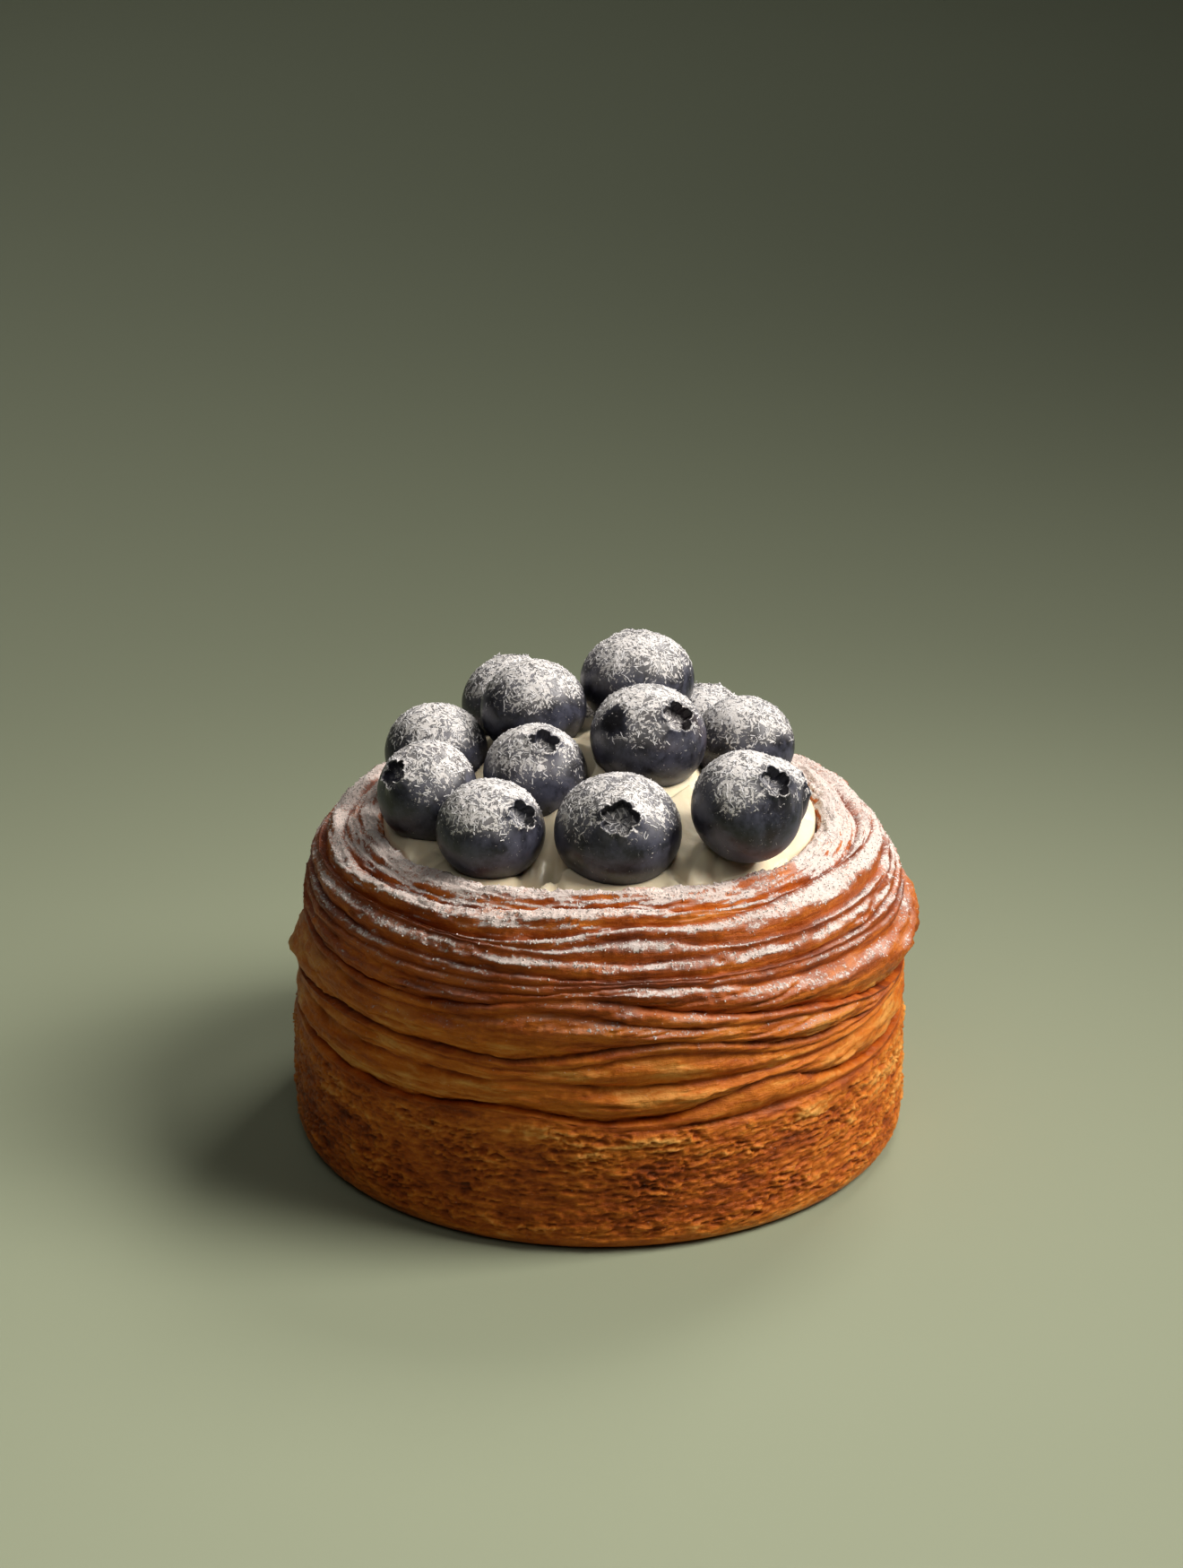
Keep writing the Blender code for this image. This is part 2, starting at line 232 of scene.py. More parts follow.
class Recipe:
    """Lays out the nodes of one procedural material."""

    def __init__(self, name: str) -> None:
        """Start a material with a plain Principled shader.

        Args:
            name: The material's name.
        """
        self.material = bpy.data.materials.new(name)
        self.material.use_nodes = True
        self.tree = self.material.node_tree
        self.shader = self.tree.nodes["Principled BSDF"]

    def node(self, kind: str, **settings: object) -> bpy.types.Node:
        """A new node of a kind, with its own settings."""
        made = self.tree.nodes.new(kind)
        for key, value in settings.items():
            setattr(made, key, value)
        return made

    def feed(self, socket: bpy.types.NodeSocket, value: object) -> None:
        """Link a socket to another, or set its own value."""
        if isinstance(value, bpy.types.NodeSocket):
            self.tree.links.new(value, socket)
        else:
            socket.default_value = value

    def mark(self, name: str) -> bpy.types.NodeSocket:
        """A number stored on the piece's points."""
        return self.node("ShaderNodeAttribute", attribute_name=name).outputs["Fac"]

    def mark_vector(self, name: str) -> bpy.types.NodeSocket:
        """A vector stored on the piece's points."""
        return self.node("ShaderNodeAttribute", attribute_name=name).outputs["Vector"]

    def place(self) -> bpy.types.NodeSocket:
        """The piece's own coordinates, in metres."""
        return self.node("ShaderNodeTexCoord").outputs["Object"]

    def noise(self, where: bpy.types.NodeSocket, pattern: Pattern) -> bpy.types.NodeSocket:
        """Rolling noise between 0 and 1, read at the given coordinates."""
        made = self.node("ShaderNodeTexNoise")
        self.feed(made.inputs["Vector"], where)
        made.inputs["Scale"].default_value = pattern.scale
        made.inputs["Detail"].default_value = pattern.detail
        made.inputs["Roughness"].default_value = pattern.roughness
        made.inputs["Distortion"].default_value = pattern.warp
        return made.outputs["Fac"]

    def swing(self, value: object, strength: float) -> bpy.types.NodeSocket:
        """A value between 0 and 1 turned into one that swings about 0."""
        return self.times(self.sum(value, -0.5), strength)

    def sum(self, first: object, second: object) -> bpy.types.NodeSocket:
        """Two values added."""
        return self.arithmetic("ADD", first, second)

    def times(self, first: object, second: object) -> bpy.types.NodeSocket:
        """Two values multiplied."""
        return self.arithmetic("MULTIPLY", first, second)

    def arithmetic(self, operation: str, first: object, second: object) -> bpy.types.NodeSocket:
        """Two values put together by a named operation."""
        made = self.node("ShaderNodeMath", operation=operation)
        self.feed(made.inputs[0], first)
        self.feed(made.inputs[1], second)
        return made.outputs[0]

    def step(self, value: object, low: float, high: float) -> bpy.types.NodeSocket:
        """0 below low, 1 above high, and a soft ramp between them."""
        made = self.node("ShaderNodeMapRange", interpolation_type="SMOOTHSTEP", clamp=True)
        self.feed(made.inputs["Value"], value)
        made.inputs["From Min"].default_value = low
        made.inputs["From Max"].default_value = high
        return made.outputs["Result"]

    def ramp(
        self, value: object, stops: tuple[tuple[float, tuple[float, float, float]], ...]
    ) -> bpy.types.NodeSocket:
        """A colour picked along a row of stops, each a place from 0 to 1 and its colour."""
        made = self.node("ShaderNodeValToRGB")
        self.feed(made.inputs["Fac"], value)
        bar = made.color_ramp.elements
        while len(bar) < len(stops):
            bar.new(0.5)
        for element, (place, colour) in zip(bar, stops):
            element.position = place
            element.color = (*colour, 1.0)
        return made.outputs["Color"]

    def blend(self, share: object, first: object, second: object) -> bpy.types.NodeSocket:
        """A colour between two others."""
        made = self.node("ShaderNodeMix", data_type="RGBA")
        self.feed(made.inputs["Factor"], share)
        for socket, value in (("A", first), ("B", second)):
            colours = [entry for entry in made.inputs if entry.name == socket]
            colour = next(entry for entry in colours if entry.type == "RGBA")
            self.feed(colour, (*value, 1.0) if isinstance(value, tuple) else value)
        return next(entry for entry in made.outputs if entry.type == "RGBA")

    def surface(self, colour: object, roughness: object, normal: object = None) -> None:
        """Give the shader its colour, its roughness and, where there is one, its relief."""
        self.feed(self.shader.inputs["Base Color"], colour)
        self.feed(self.shader.inputs["Roughness"], roughness)
        if normal is not None:
            self.feed(self.shader.inputs["Normal"], normal)

    def bump(self, height: object, depth: float, strength: float) -> bpy.types.NodeSocket:
        """A relief that tilts the light, with its depth in millimetres."""
        made = self.node("ShaderNodeBump")
        made.inputs["Strength"].default_value = strength
        made.inputs["Distance"].default_value = depth * MM
        self.feed(made.inputs["Height"], height)
        return made.outputs["Normal"]


@dataclass(frozen=True)
class SugarLook:
    """How icing sugar lies over another finish: its colour, its lacy threads and its specks."""

    colour: tuple[float, float, float] = (0.82, 0.76, 0.73)
    threads: Pattern = Pattern(640.0, 3.0, 0.6, 1.1)
    thread_width: float = 0.13
    thread_lift: float = 0.55
    specks: Pattern = Pattern(2300.0, 2.0, 0.6, 0.3)
    edge: tuple[float, float] = (0.40, 0.60)

    def cover(self, recipe: Recipe, amount: object, thread: float, speck: float) -> object:
        """How much sugar covers a place.

        Args:
            recipe: The material under way.
            amount: The sugar that fell there, from 0 to 1.
            thread: How strongly the lacy threads break the cover up.
            speck: How strongly the specks break it up.

        Returns:
            The cover, from 0 to 1.
        """
        place = recipe.place()
        waves = recipe.noise(place, self.threads)
        off = recipe.arithmetic("ABSOLUTE", recipe.sum(waves, -0.5), 0.0)
        lace = recipe.times(off, -thread / self.thread_width)
        lace = recipe.sum(lace, thread * self.thread_lift)
        grit = recipe.swing(recipe.noise(place, self.specks), speck)
        return recipe.step(recipe.sum(recipe.sum(amount, lace), grit), *self.edge)


@dataclass(frozen=True)
class CrustFinish:
    """Baked laminated dough: golden layers, browned edges, creases darkened as painted shade,
    sugar where it fell.
    """

    stops: tuple[tuple[float, tuple[float, float, float]], ...] = (
        (0.0, (0.80, 0.37, 0.085)),
        (0.25, (0.63, 0.172, 0.014)),
        (0.5, (0.41, 0.080, 0.006)),
        (0.75, (0.19, 0.029, 0.003)),
        (1.0, (0.045, 0.008, 0.002)),
    )
    patches: Pattern = Pattern(130.0, 4.0)
    patch_tone: float = 0.42
    streaks: Pattern = Pattern(1.5, 7.0, 0.70, 0.15)
    streak_tone: float = 0.75
    pores: Pattern = Pattern(1500.0)
    pore_tone: float = 0.16
    sugar: SugarLook = SugarLook()
    thread: float = 0.40
    speck: float = 1.2
    cover: float = 0.80
    film: float = 0.58
    film_range: tuple[float, float] = (0.02, 0.85)
    roughness: float = 0.40
    sugared_roughness: float = 0.35
    specular: float = 0.34
    specular_tint: tuple[float, float, float] = (1.0, 0.76, 0.55)
    pore_relief: float = 0.35
    sugar_relief: float = 0.35
    relief: float = 0.42
    relief_strength: float = 0.9

    def material(self) -> bpy.types.Material:
        """The crust's material."""
        recipe = Recipe("baked crust")
        place = recipe.place()
        patches = recipe.noise(place, self.patches)
        streaks = recipe.noise(recipe.mark_vector("fibre"), self.streaks)
        pores = recipe.noise(place, self.pores)
        # The tone mark carries painted shade in creases and pits and painted light on ridges and
        # the right.
        tone = recipe.sum(recipe.mark("tone"), recipe.swing(patches, self.patch_tone))
        tone = recipe.sum(tone, recipe.swing(streaks, self.streak_tone))
        tone = recipe.sum(tone, recipe.swing(pores, self.pore_tone))
        colour = recipe.ramp(tone, self.stops)
        fall = recipe.mark("sugar")
        film = recipe.times(recipe.step(fall, *self.film_range), self.film)
        cover = self.sugar.cover(recipe, fall, self.thread, self.speck)
        cover = recipe.arithmetic("MAXIMUM", recipe.times(cover, self.cover), film)
        colour = recipe.blend(cover, colour, self.sugar.colour)
        rough = recipe.sum(recipe.times(cover, self.sugared_roughness), self.roughness)
        grain = recipe.sum(streaks, recipe.times(pores, self.pore_relief))
        grain = recipe.sum(grain, recipe.times(cover, self.sugar_relief))
        recipe.surface(colour, rough, recipe.bump(grain, self.relief, self.relief_strength))
        recipe.shader.inputs["Specular IOR Level"].default_value = self.specular
        recipe.shader.inputs["Specular Tint"].default_value = (*self.specular_tint, 1.0)
        return recipe.material


@dataclass(frozen=True)
class CreamFinish:
    """Smooth piped cream, a warm off-white that lets a little light in, deeper in tone under the
    berries as painted shade.
    """

    pale: tuple[float, float, float] = (0.90, 0.80, 0.60)
    deep: tuple[float, float, float] = (0.80, 0.66, 0.42)
    clouds: Pattern = Pattern(160.0, 3.0, 0.5)
    cloud_share: float = 0.7
    # How far painted shade under the berries turns the cream to its deep colour.
    seat_shade_share: float = 0.6
    grain: Pattern = Pattern(1400.0)
    roughness: float = 0.36
    softness: float = 0.25
    softness_reach: tuple[float, float, float] = (1.0, 0.75, 0.5)
    softness_scale: float = 1.2
    relief: float = 0.05
    relief_strength: float = 0.6

    def material(self) -> bpy.types.Material:
        """The cream's material."""
        recipe = Recipe("piped cream")
        place = recipe.place()
        clouds = recipe.times(recipe.noise(place, self.clouds), self.cloud_share)
        # Painted shade: the cream deepens where the berries sit in it.
        share = recipe.sum(clouds, recipe.times(recipe.mark("painted_shade"), self.seat_shade_share))
        grain = recipe.noise(place, self.grain)
        relief = recipe.bump(grain, self.relief, self.relief_strength)
        recipe.surface(recipe.blend(share, self.pale, self.deep), self.roughness, relief)
        recipe.shader.inputs["Subsurface Weight"].default_value = self.softness
        recipe.shader.inputs["Subsurface Radius"].default_value = self.softness_reach
        recipe.shader.inputs["Subsurface Scale"].default_value = self.softness_scale * MM
        return recipe.material


@dataclass(frozen=True)
class BerryFinish:
    """Dark berry skin with a cloudy bloom, under a crust of sifted sugar, with painted shade in
    the crown's hollow and on a bare spot.
    """

    skin: tuple[float, float, float] = (0.006, 0.006, 0.011)
    bloom: tuple[float, float, float] = (0.064, 0.067, 0.100)
    blush: tuple[float, float, float] = (0.05, 0.018, 0.022)
    # Colour of the painted shade on the crown's dish wall and on a berry's bare spot.
    crown: tuple[float, float, float] = (0.006, 0.005, 0.006)
    clouds: Pattern = Pattern(230.0, 5.0, 0.65, 0.4)
    cloud_share: float = 0.75
    scuffs: Pattern = Pattern(1100.0, 4.0, 0.7)
    scuff_share: float = 0.25
    scuff_relief: float = 0.12
    bloom_range: tuple[float, float] = (0.38, 0.64)
    blushes: Pattern = Pattern(95.0, 2.0, 0.5)
    blush_range: tuple[float, float] = (0.6, 0.75)
    blush_share: float = 0.35
    sugar: SugarLook = SugarLook((0.74, 0.71, 0.70), Pattern(520.0, 3.0, 0.6, 1.1), 0.12)
    thread: float = 0.55
    speck: float = 1.2
    cover: float = 0.90
    film: float = 0.24
    film_range: tuple[float, float] = (0.0, 0.62)
    roughness: float = 0.30
    bloom_roughness: float = 0.16
    sugared_roughness: float = 0.4
    relief: float = 0.18
    relief_strength: float = 0.9

    def material(self) -> bpy.types.Material:
        """The berries' material."""
        recipe = Recipe("sugared berry")
        place = recipe.place()
        clouds = recipe.noise(place, self.clouds)
        scuffs = recipe.noise(place, self.scuffs)
        haze = recipe.times(clouds, self.cloud_share)
        haze = recipe.sum(haze, recipe.times(scuffs, self.scuff_share))
        bloom = recipe.step(haze, *self.bloom_range)
        colour = recipe.blend(bloom, self.skin, self.bloom)
        warm = recipe.step(recipe.noise(place, self.blushes), *self.blush_range)
        colour = recipe.blend(recipe.times(warm, self.blush_share), colour, self.blush)
        # Painted shade: the crown's dish wall and any bare spot go near black.
        colour = recipe.blend(recipe.mark("painted_shade"), colour, self.crown)
        fall = recipe.mark("sugar")
        film = recipe.times(recipe.step(fall, *self.film_range), self.film)
        colour = recipe.blend(film, colour, self.sugar.colour)
        cover = self.sugar.cover(recipe, fall, self.thread, self.speck)
        cover = recipe.times(cover, self.cover)
        colour = recipe.blend(cover, colour, self.sugar.colour)
        rough = recipe.sum(recipe.times(bloom, self.bloom_roughness), self.roughness)
        rough = recipe.sum(rough, recipe.times(cover, self.sugared_roughness))
        relief = recipe.sum(cover, recipe.times(scuffs, self.scuff_relief))
        recipe.surface(colour, rough, recipe.bump(relief, self.relief, self.relief_strength))
        return recipe.material


@dataclass(frozen=True)
class PlainFinish:
    """A matt finish of one colour, with a faint unevenness: loose sugar or painted board."""

    name: str
    colour: tuple[float, float, float]
    clouds: Pattern
    shade: float
    roughness: float

    def material(self) -> bpy.types.Material:
        """The finish's material."""
        recipe = Recipe(self.name)
        cloud = recipe.noise(recipe.place(), self.clouds)
        shade = tuple(part * self.shade for part in self.colour)
        recipe.surface(recipe.blend(cloud, shade, self.colour), self.roughness)
        return recipe.material


SUGAR_CLOUDS = Pattern(700.0, 2.0, 0.5)
CRUST_SUGAR = PlainFinish("sugar on crust", (0.84, 0.78, 0.75), SUGAR_CLOUDS, 0.82, 0.75)
BERRY_SUGAR = PlainFinish("sugar on berries", (0.78, 0.77, 0.79), SUGAR_CLOUDS, 0.82, 0.75)
BOARD = PlainFinish("matt board", (0.26, 0.290, 0.198), Pattern(9.0, 2.0, 0.5), 0.96, 0.85)


@dataclass
class Outline:
    """The pastry's plain outline: the foot, the upright wall, the round shoulder and the lip."""

    wall_radius: float = 42.0
    wall_height: float = 30.0
    foot_round: float = 2.5
    rim_radius: float = 31.5
    rim_height: float = 45.5
    lip_round: float = 2.0
    well_floor: float = 36.0
    lip_rise: float = 2.0
    lip_rise_spread: float = 48.0
    puffs: tuple[tuple[float, float, float, float, float], ...] = (
        (85, 31.0, 1.7, 45, 4.2),
        (-88, 31.0, -1.2, 42, 7.0),
        (-86, 26.8, 2.0, 14, 1.3),
        (82, 41.0, 0.7, 32, 4.0),
        (185, 33.0, 0.8, 50, 7.0),
    )

    def __post_init__(self) -> None:
        """Work out the outline's points, from the foot to the lip's inner edge."""
        across = self.wall_radius - self.rim_radius
        up = self.rim_height - self.wall_height
        foot = np.linspace(0.0, self.foot_round, 41)
        drop = self.foot_round - foot
        reach = np.sqrt(self.foot_round**2 - drop**2)
        turn = np.linspace(0.0, math.pi / 2, 401)[1:]
        steps = np.hypot(across * np.sin(turn), up * np.cos(turn))
        run = np.cumsum(steps) * (turn[1] - turn[0])
        lean = np.hypot(up * np.cos(turn), across * np.sin(turn))
        lip = np.linspace(0.0, math.pi / 2, 61)[1:]
        self.shoulder_end = self.wall_height + float(run[-1])
        self.lip_end = self.shoulder_end + self.lip_round * math.pi / 2
        lip_out = -np.sin(lip)
        lip_up = np.cos(lip)
        self.travel = np.concatenate(
            [
                foot,
                [self.wall_height],
                self.wall_height + run,
                self.shoulder_end + self.lip_round * lip,
            ]
        )
        self.radius = np.concatenate(
            [
                self.wall_radius - self.foot_round + reach,
                [self.wall_radius],
                self.rim_radius + across * np.cos(turn),
                self.rim_radius + self.lip_round * lip_out,
            ]
        )
        self.height = np.concatenate(
            [
                foot,
                [self.wall_height],
                self.wall_height + up * np.sin(turn),
                self.rim_height - self.lip_round + self.lip_round * lip_up,
            ]
        )
        upright = len(foot) + 1
        self.out = np.concatenate([np.ones(upright), up * np.cos(turn) / lean, lip_out])
        self.rise = np.concatenate([np.zeros(upright), across * np.sin(turn) / lean, lip_up])

    def puffed(self, angle: np.ndarray, travel: np.ndarray) -> np.ndarray:
        """How far the dough leans out of round at each place on the wall."""
        total = np.zeros(np.broadcast(angle, travel).shape)
        for centre, level, reach, wide, tall in self.puffs:
            total += reach * bell(turn_between(angle, centre), wide) * bell(travel - level, tall)
        return total

    def points(self, angle: np.ndarray, travel: np.ndarray, relief: np.ndarray) -> np.ndarray:
        """Points of the crust in metres.

        Args:
            angle: Degrees round the pastry.
            travel: Distance up the wall along the outline, in millimetres.
            relief: Distance out of the outline, in millimetres.

        Returns:
            An array with x, y and z in its last axis.
        """
        radius = np.interp(travel, self.travel, self.radius)
        height = np.interp(travel, self.travel, self.height)
        out = np.interp(travel, self.travel, self.out)
        rise = np.interp(travel, self.travel, self.rise)
        reach = relief + self.puffed(angle, travel) * smooth_step(travel, self.foot_round, 20.0)
        lift = self.lip_rise * bell(turn_between(angle, 0.0), self.lip_rise_spread)
        height = height + reach * rise + lift * smooth_step(travel, 34.0, 50.0)
        radius = radius + reach * out
        turn = np.radians(angle)
        return np.stack([radius * np.sin(turn), -radius * np.cos(turn), height], axis=-1) * MM


@dataclass
class Folds:
    """The wrapped layers of dough, as lines that run round the wall."""

    lines: tuple[tuple[float, tuple[tuple[float, float, float], ...]], ...] = (
        (17.6, ((-18, 1.9, 16),)),
        (18.4, ((32, 3.9, 15), (-18, 1.7, 16))),
        (23.6, ((-12, 0.9, 12),)),
        (25.0, ((12, 3.4, 20), (-40, 1.2, 25))),
        (25.4, ((13, 4.4, 22), (-35, 1.6, 28))),
        (31.6, ((-8, 3.0, 16), (85, -6.5, 35))),
        (33.2, ((-4, 3.3, 20), (85, -7.5, 40))),
        (36.1, ((8, 1.9, 18), (80, -1.3, 30))),
        (37.7, ((8, 0.6, 18), (80, -1.6, 30))),
        (39.4, ((50, -1.8, 55),)),
        (40.3, ((-55, 2.2, 45), (35, 0.5, 20))),
        (41.2, ((8, 2.2, 14), (-55, 1.6, 40))),
        (42.4, ((5, 2.0, 18), (55, 3.9, 36))),
        (46.3, ((-3, 2.4, 19),)),
    )
    least_gap: float = 0.22
    hidden_swells: int = 4
    hidden_from: float = 105.0
    hidden_to: float = 255.0
    hidden_rise: float = 1.6
    hidden_spread: tuple[float, float] = (12.0, 28.0)
    bulge_share: float = 0.30
    bulge_most: float = 1.35
    tuck_share: float = 0.22
    tuck_most: float = 1.1
    set_back: float = 0.3
    skew: float = 1.45

    def heights(self, angle: np.ndarray) -> np.ndarray:
        """How far up the wall each line lies.

        Args:
            angle: Degrees round the pastry, one for each column.

        Returns:
            An array of lines by columns, lowest line first, never crossing.
        """
        draw = random.Random(SEED)
        found: list[np.ndarray] = []
        for level, swells in self.lines:
            hidden = tuple(
                (
                    draw.uniform(self.hidden_from, self.hidden_to),
                    draw.uniform(-self.hidden_rise, self.hidden_rise),
                    draw.uniform(*self.hidden_spread),
                )
                for _ in range(self.hidden_swells)
            )
            height = np.full(len(angle), level)
            for centre, rise, spread in swells + hidden:
                height = height + rise * bell(turn_between(angle, centre), spread)
            if found:
                height = np.maximum(height, found[-1] + self.least_gap)
            found.append(height)
        return np.array(found)

    def relief(self, share: np.ndarray, width: np.ndarray) -> np.ndarray:
        """Outward relief inside a fold, from its lower line (0) to its upper line (1)."""
        bulge = np.minimum(self.bulge_share * width, self.bulge_most)
        tuck = np.minimum(self.tuck_share * width, self.tuck_most)
        swell = np.clip(np.sin(math.pi * share**self.skew), 0.0, 1.0) ** 0.8
        return bulge * swell - tuck - self.set_back


class SugarFall:
    """Icing sugar sifted from above, which only reaches what nothing lies over."""

    TILT = 0.42
    TURNS = (0.4, 1.97, 3.54, 5.11)
    STRAIGHT_SHARE = 0.4
    TILTED_SHARE = 0.15
    REACH = 30.0 * MM

    def __init__(self, covers: list[bpy.types.Object]) -> None:
        """Gather what can keep the sugar off.

        Args:
            covers: Meshes whose points are in the shared frame.
        """
        points: list[Vector] = []
        faces: list[tuple[int, ...]] = []
        for cover in covers:
            start = len(points)
            points += [vert.co.copy() for vert in cover.data.vertices]
            faces += [tuple(start + i for i in face.vertices) for face in cover.data.polygons]
        self.tree = BVHTree.FromPolygons(points, faces)
        tilted = [
            Vector((self.TILT * math.cos(turn), self.TILT * math.sin(turn), 1.0)).normalized()
            for turn in self.TURNS
        ]
        self.ways = [(Vector((0.0, 0.0, 1.0)), self.STRAIGHT_SHARE)]
        self.ways += [(way, self.TILTED_SHARE) for way in tilted]

    def open_share(self, points: np.ndarray, normals: np.ndarray, lift: float) -> np.ndarray:
        """How much of the sugar's fall is open above each point.

        Args:
            points: An (n, 3) array in metres.
            normals: Outward normals of the same points.
            lift: How far off the surface the look upwards starts, in metres.

        Returns:
            A share from 0 to 1 for each point.
        """
        starts = points + normals * lift
        shares = np.zeros(len(points))
        for number, start in enumerate(starts.tolist()):
            origin = Vector(start)
            shares[number] = sum(
                weight
                for way, weight in self.ways
                if self.tree.ray_cast(origin, way, self.REACH)[0] is None
            )
        return shares


@dataclass(frozen=True)
class Grain:
    """Noise over the wall: its pattern, its grains' width and height, its finer layers."""

    seed: int
    along: float
    up: float
    layers: int


@dataclass(frozen=True)
class CrustGrains:
    """Every layer of noise that shapes or colours the crust, with sizes in millimetres."""

    wall_push: Grain = Grain(31, 4.2, 1.8, 3)
    wall_coarse: Grain = Grain(32, 4.4, 0.74, 3)
    wall_second: Grain = Grain(36, 2.7, 0.52, 2)
    wall_wisps: Grain = Grain(33, 3.0, 0.52, 3)
    wall_cells: Grain = Grain(34, 2.4, 0.66, 1)
    wall_patches: Grain = Grain(35, 9.0, 5.0, 2)
    sharpness: Grain = Grain(38, 10.0, 6.0, 2)
    fullness: Grain = Grain(39, 14.0, 4.0, 2)
    melting: Grain = Grain(40, 9.0, 1.0, 2)
    fibres: Grain = Grain(41, 9.0, 0.42, 3)
    blisters: Grain = Grain(42, 1.4, 0.8, 3)
    crumple: Grain = Grain(43, 4.5, 1.6, 3)
    wrinkles: Grain = Grain(44, 17.0, 1.7, 2)
    frayed: Grain = Grain(45, 1.1, 1.4, 3)
    strand_push: Grain = Grain(46, 8.0, 3.0, 2)
    strands: Grain = Grain(47, 13.0, 0.95, 3)
    leaf_cover: Grain = Grain(48, 15.0, 3.0, 2)
    leaf_level: Grain = Grain(49, 17.0, 5.2, 3)
    line_wave: Grain = Grain(50, 3.2, 1.0, 3)
    clouds: Grain = Grain(61, 11.0, 2.6, 3)
    sugar_drift: Grain = Grain(62, 8.0, 2.4, 3)


@dataclass(frozen=True)
class WallRelief:
    """Heights and depths of the pitted wall's forms, in millimetres."""

    push: float = 0.7
    coarse: float = 0.50
    coarse_steps: float = 2.6
    second: float = 0.32
    second_steps: float = 2.2
    wisps: float = 0.26
    wisp_sharpness: float = 3.4
    pits: float = 0.42
    set_back: float = 0.05
    under_fold: float = 0.2
    melted_share: float = 0.6
    melted_set_back: float = 0.15


@dataclass(frozen=True)
class FoldRelief:
    """Heights and depths of the fine forms on the folds, in millimetres."""

    full_width: float = 2.5
    fibres: float = 0.16
    crumple: float = 0.24
    leaves: float = 0.46
    leaf_base: float = 0.15
    leaf_pitch: float = 1.3
    leaf_push: float = 1.5
    wrinkles: float = 0.40
    wrinkle_sharpness: float = 3.4
    wrinkle_base: float = 0.08
    strands: float = 0.20
    strand_push: float = 0.9
    strand_sharpness: float = 4.2
    blisters: float = 0.26
    frayed: float = 0.30
    crease: float = 0.34
    crease_less_high: float = 0.16


@dataclass(frozen=True)
class CrustTone:
    """How dark the crust is, from 0 (pale gold) to 1 (darkest crease): its browning, with painted
    shade in the creases and the wall's pits and painted light on the wall's ridges and right side.
    """

    fold: float = 0.27
    high: float = 0.18
    edge: float = 0.06
    # Painted shade: how much darker the crust gets towards each fold line.
    crease: float = 0.34
    crease_less_high: float = 0.10
    clouds: float = 0.30
    strands: float = 0.14
    wall: float = 0.56
    # Painted shade in the wall's pits and painted light on its ridges, by relief.
    wall_pit_shade_ridge_light: float = 0.66
    wall_foot: float = 0.22
    wall_top: float = 0.16
    # Painted light: how much paler the wall gets towards the right.
    wall_right_painted_light: float = 0.12
    bare: float = 0.30
    fibre_size: tuple[float, float] = (7.0, 1.0)


@dataclass(frozen=True)
class CrustSugar:
    """How thick the sugar fell on the crust, on its left and how much more on its right."""

    fall: tuple[float, float] = (0.78, 0.18)
    dust: tuple[float, float] = (0.12, 0.26)
    drift: tuple[float, float] = (0.62, 0.60)
    lowest: float = 31.0
    lower_right: float = 3.0
    thickens_over: float = 14.0
    edges: float = 0.10
    crease_loss: float = 0.75
    bare_turn: tuple[float, float] = (22.0, 9.0)
    bare_travel: tuple[float, float] = (46.0, 2.2)
    bare_loss: float = 0.62
    sheltered_share: float = 0.45
    berries_from: float = 41.0
    berries_within: float = 38.0
    look_from: float = 1.0


@dataclass(frozen=True)
class DoughGrid:
    """Every point of the crust in rings by columns, as it lies on the wall and the folds.

    A ring has one band: 0 is the pitted wall and band n lies above fold line n. A point has its
    share of the way up its band, the band's width there and the travel up the outline in
    millimetres, its angle in degrees, and whether it is folded (1) or on the pitted wall (0).
    """

    band: np.ndarray
    share: np.ndarray
    width: np.ndarray
    angle: np.ndarray
    travel: np.ndarray
    folded: np.ndarray


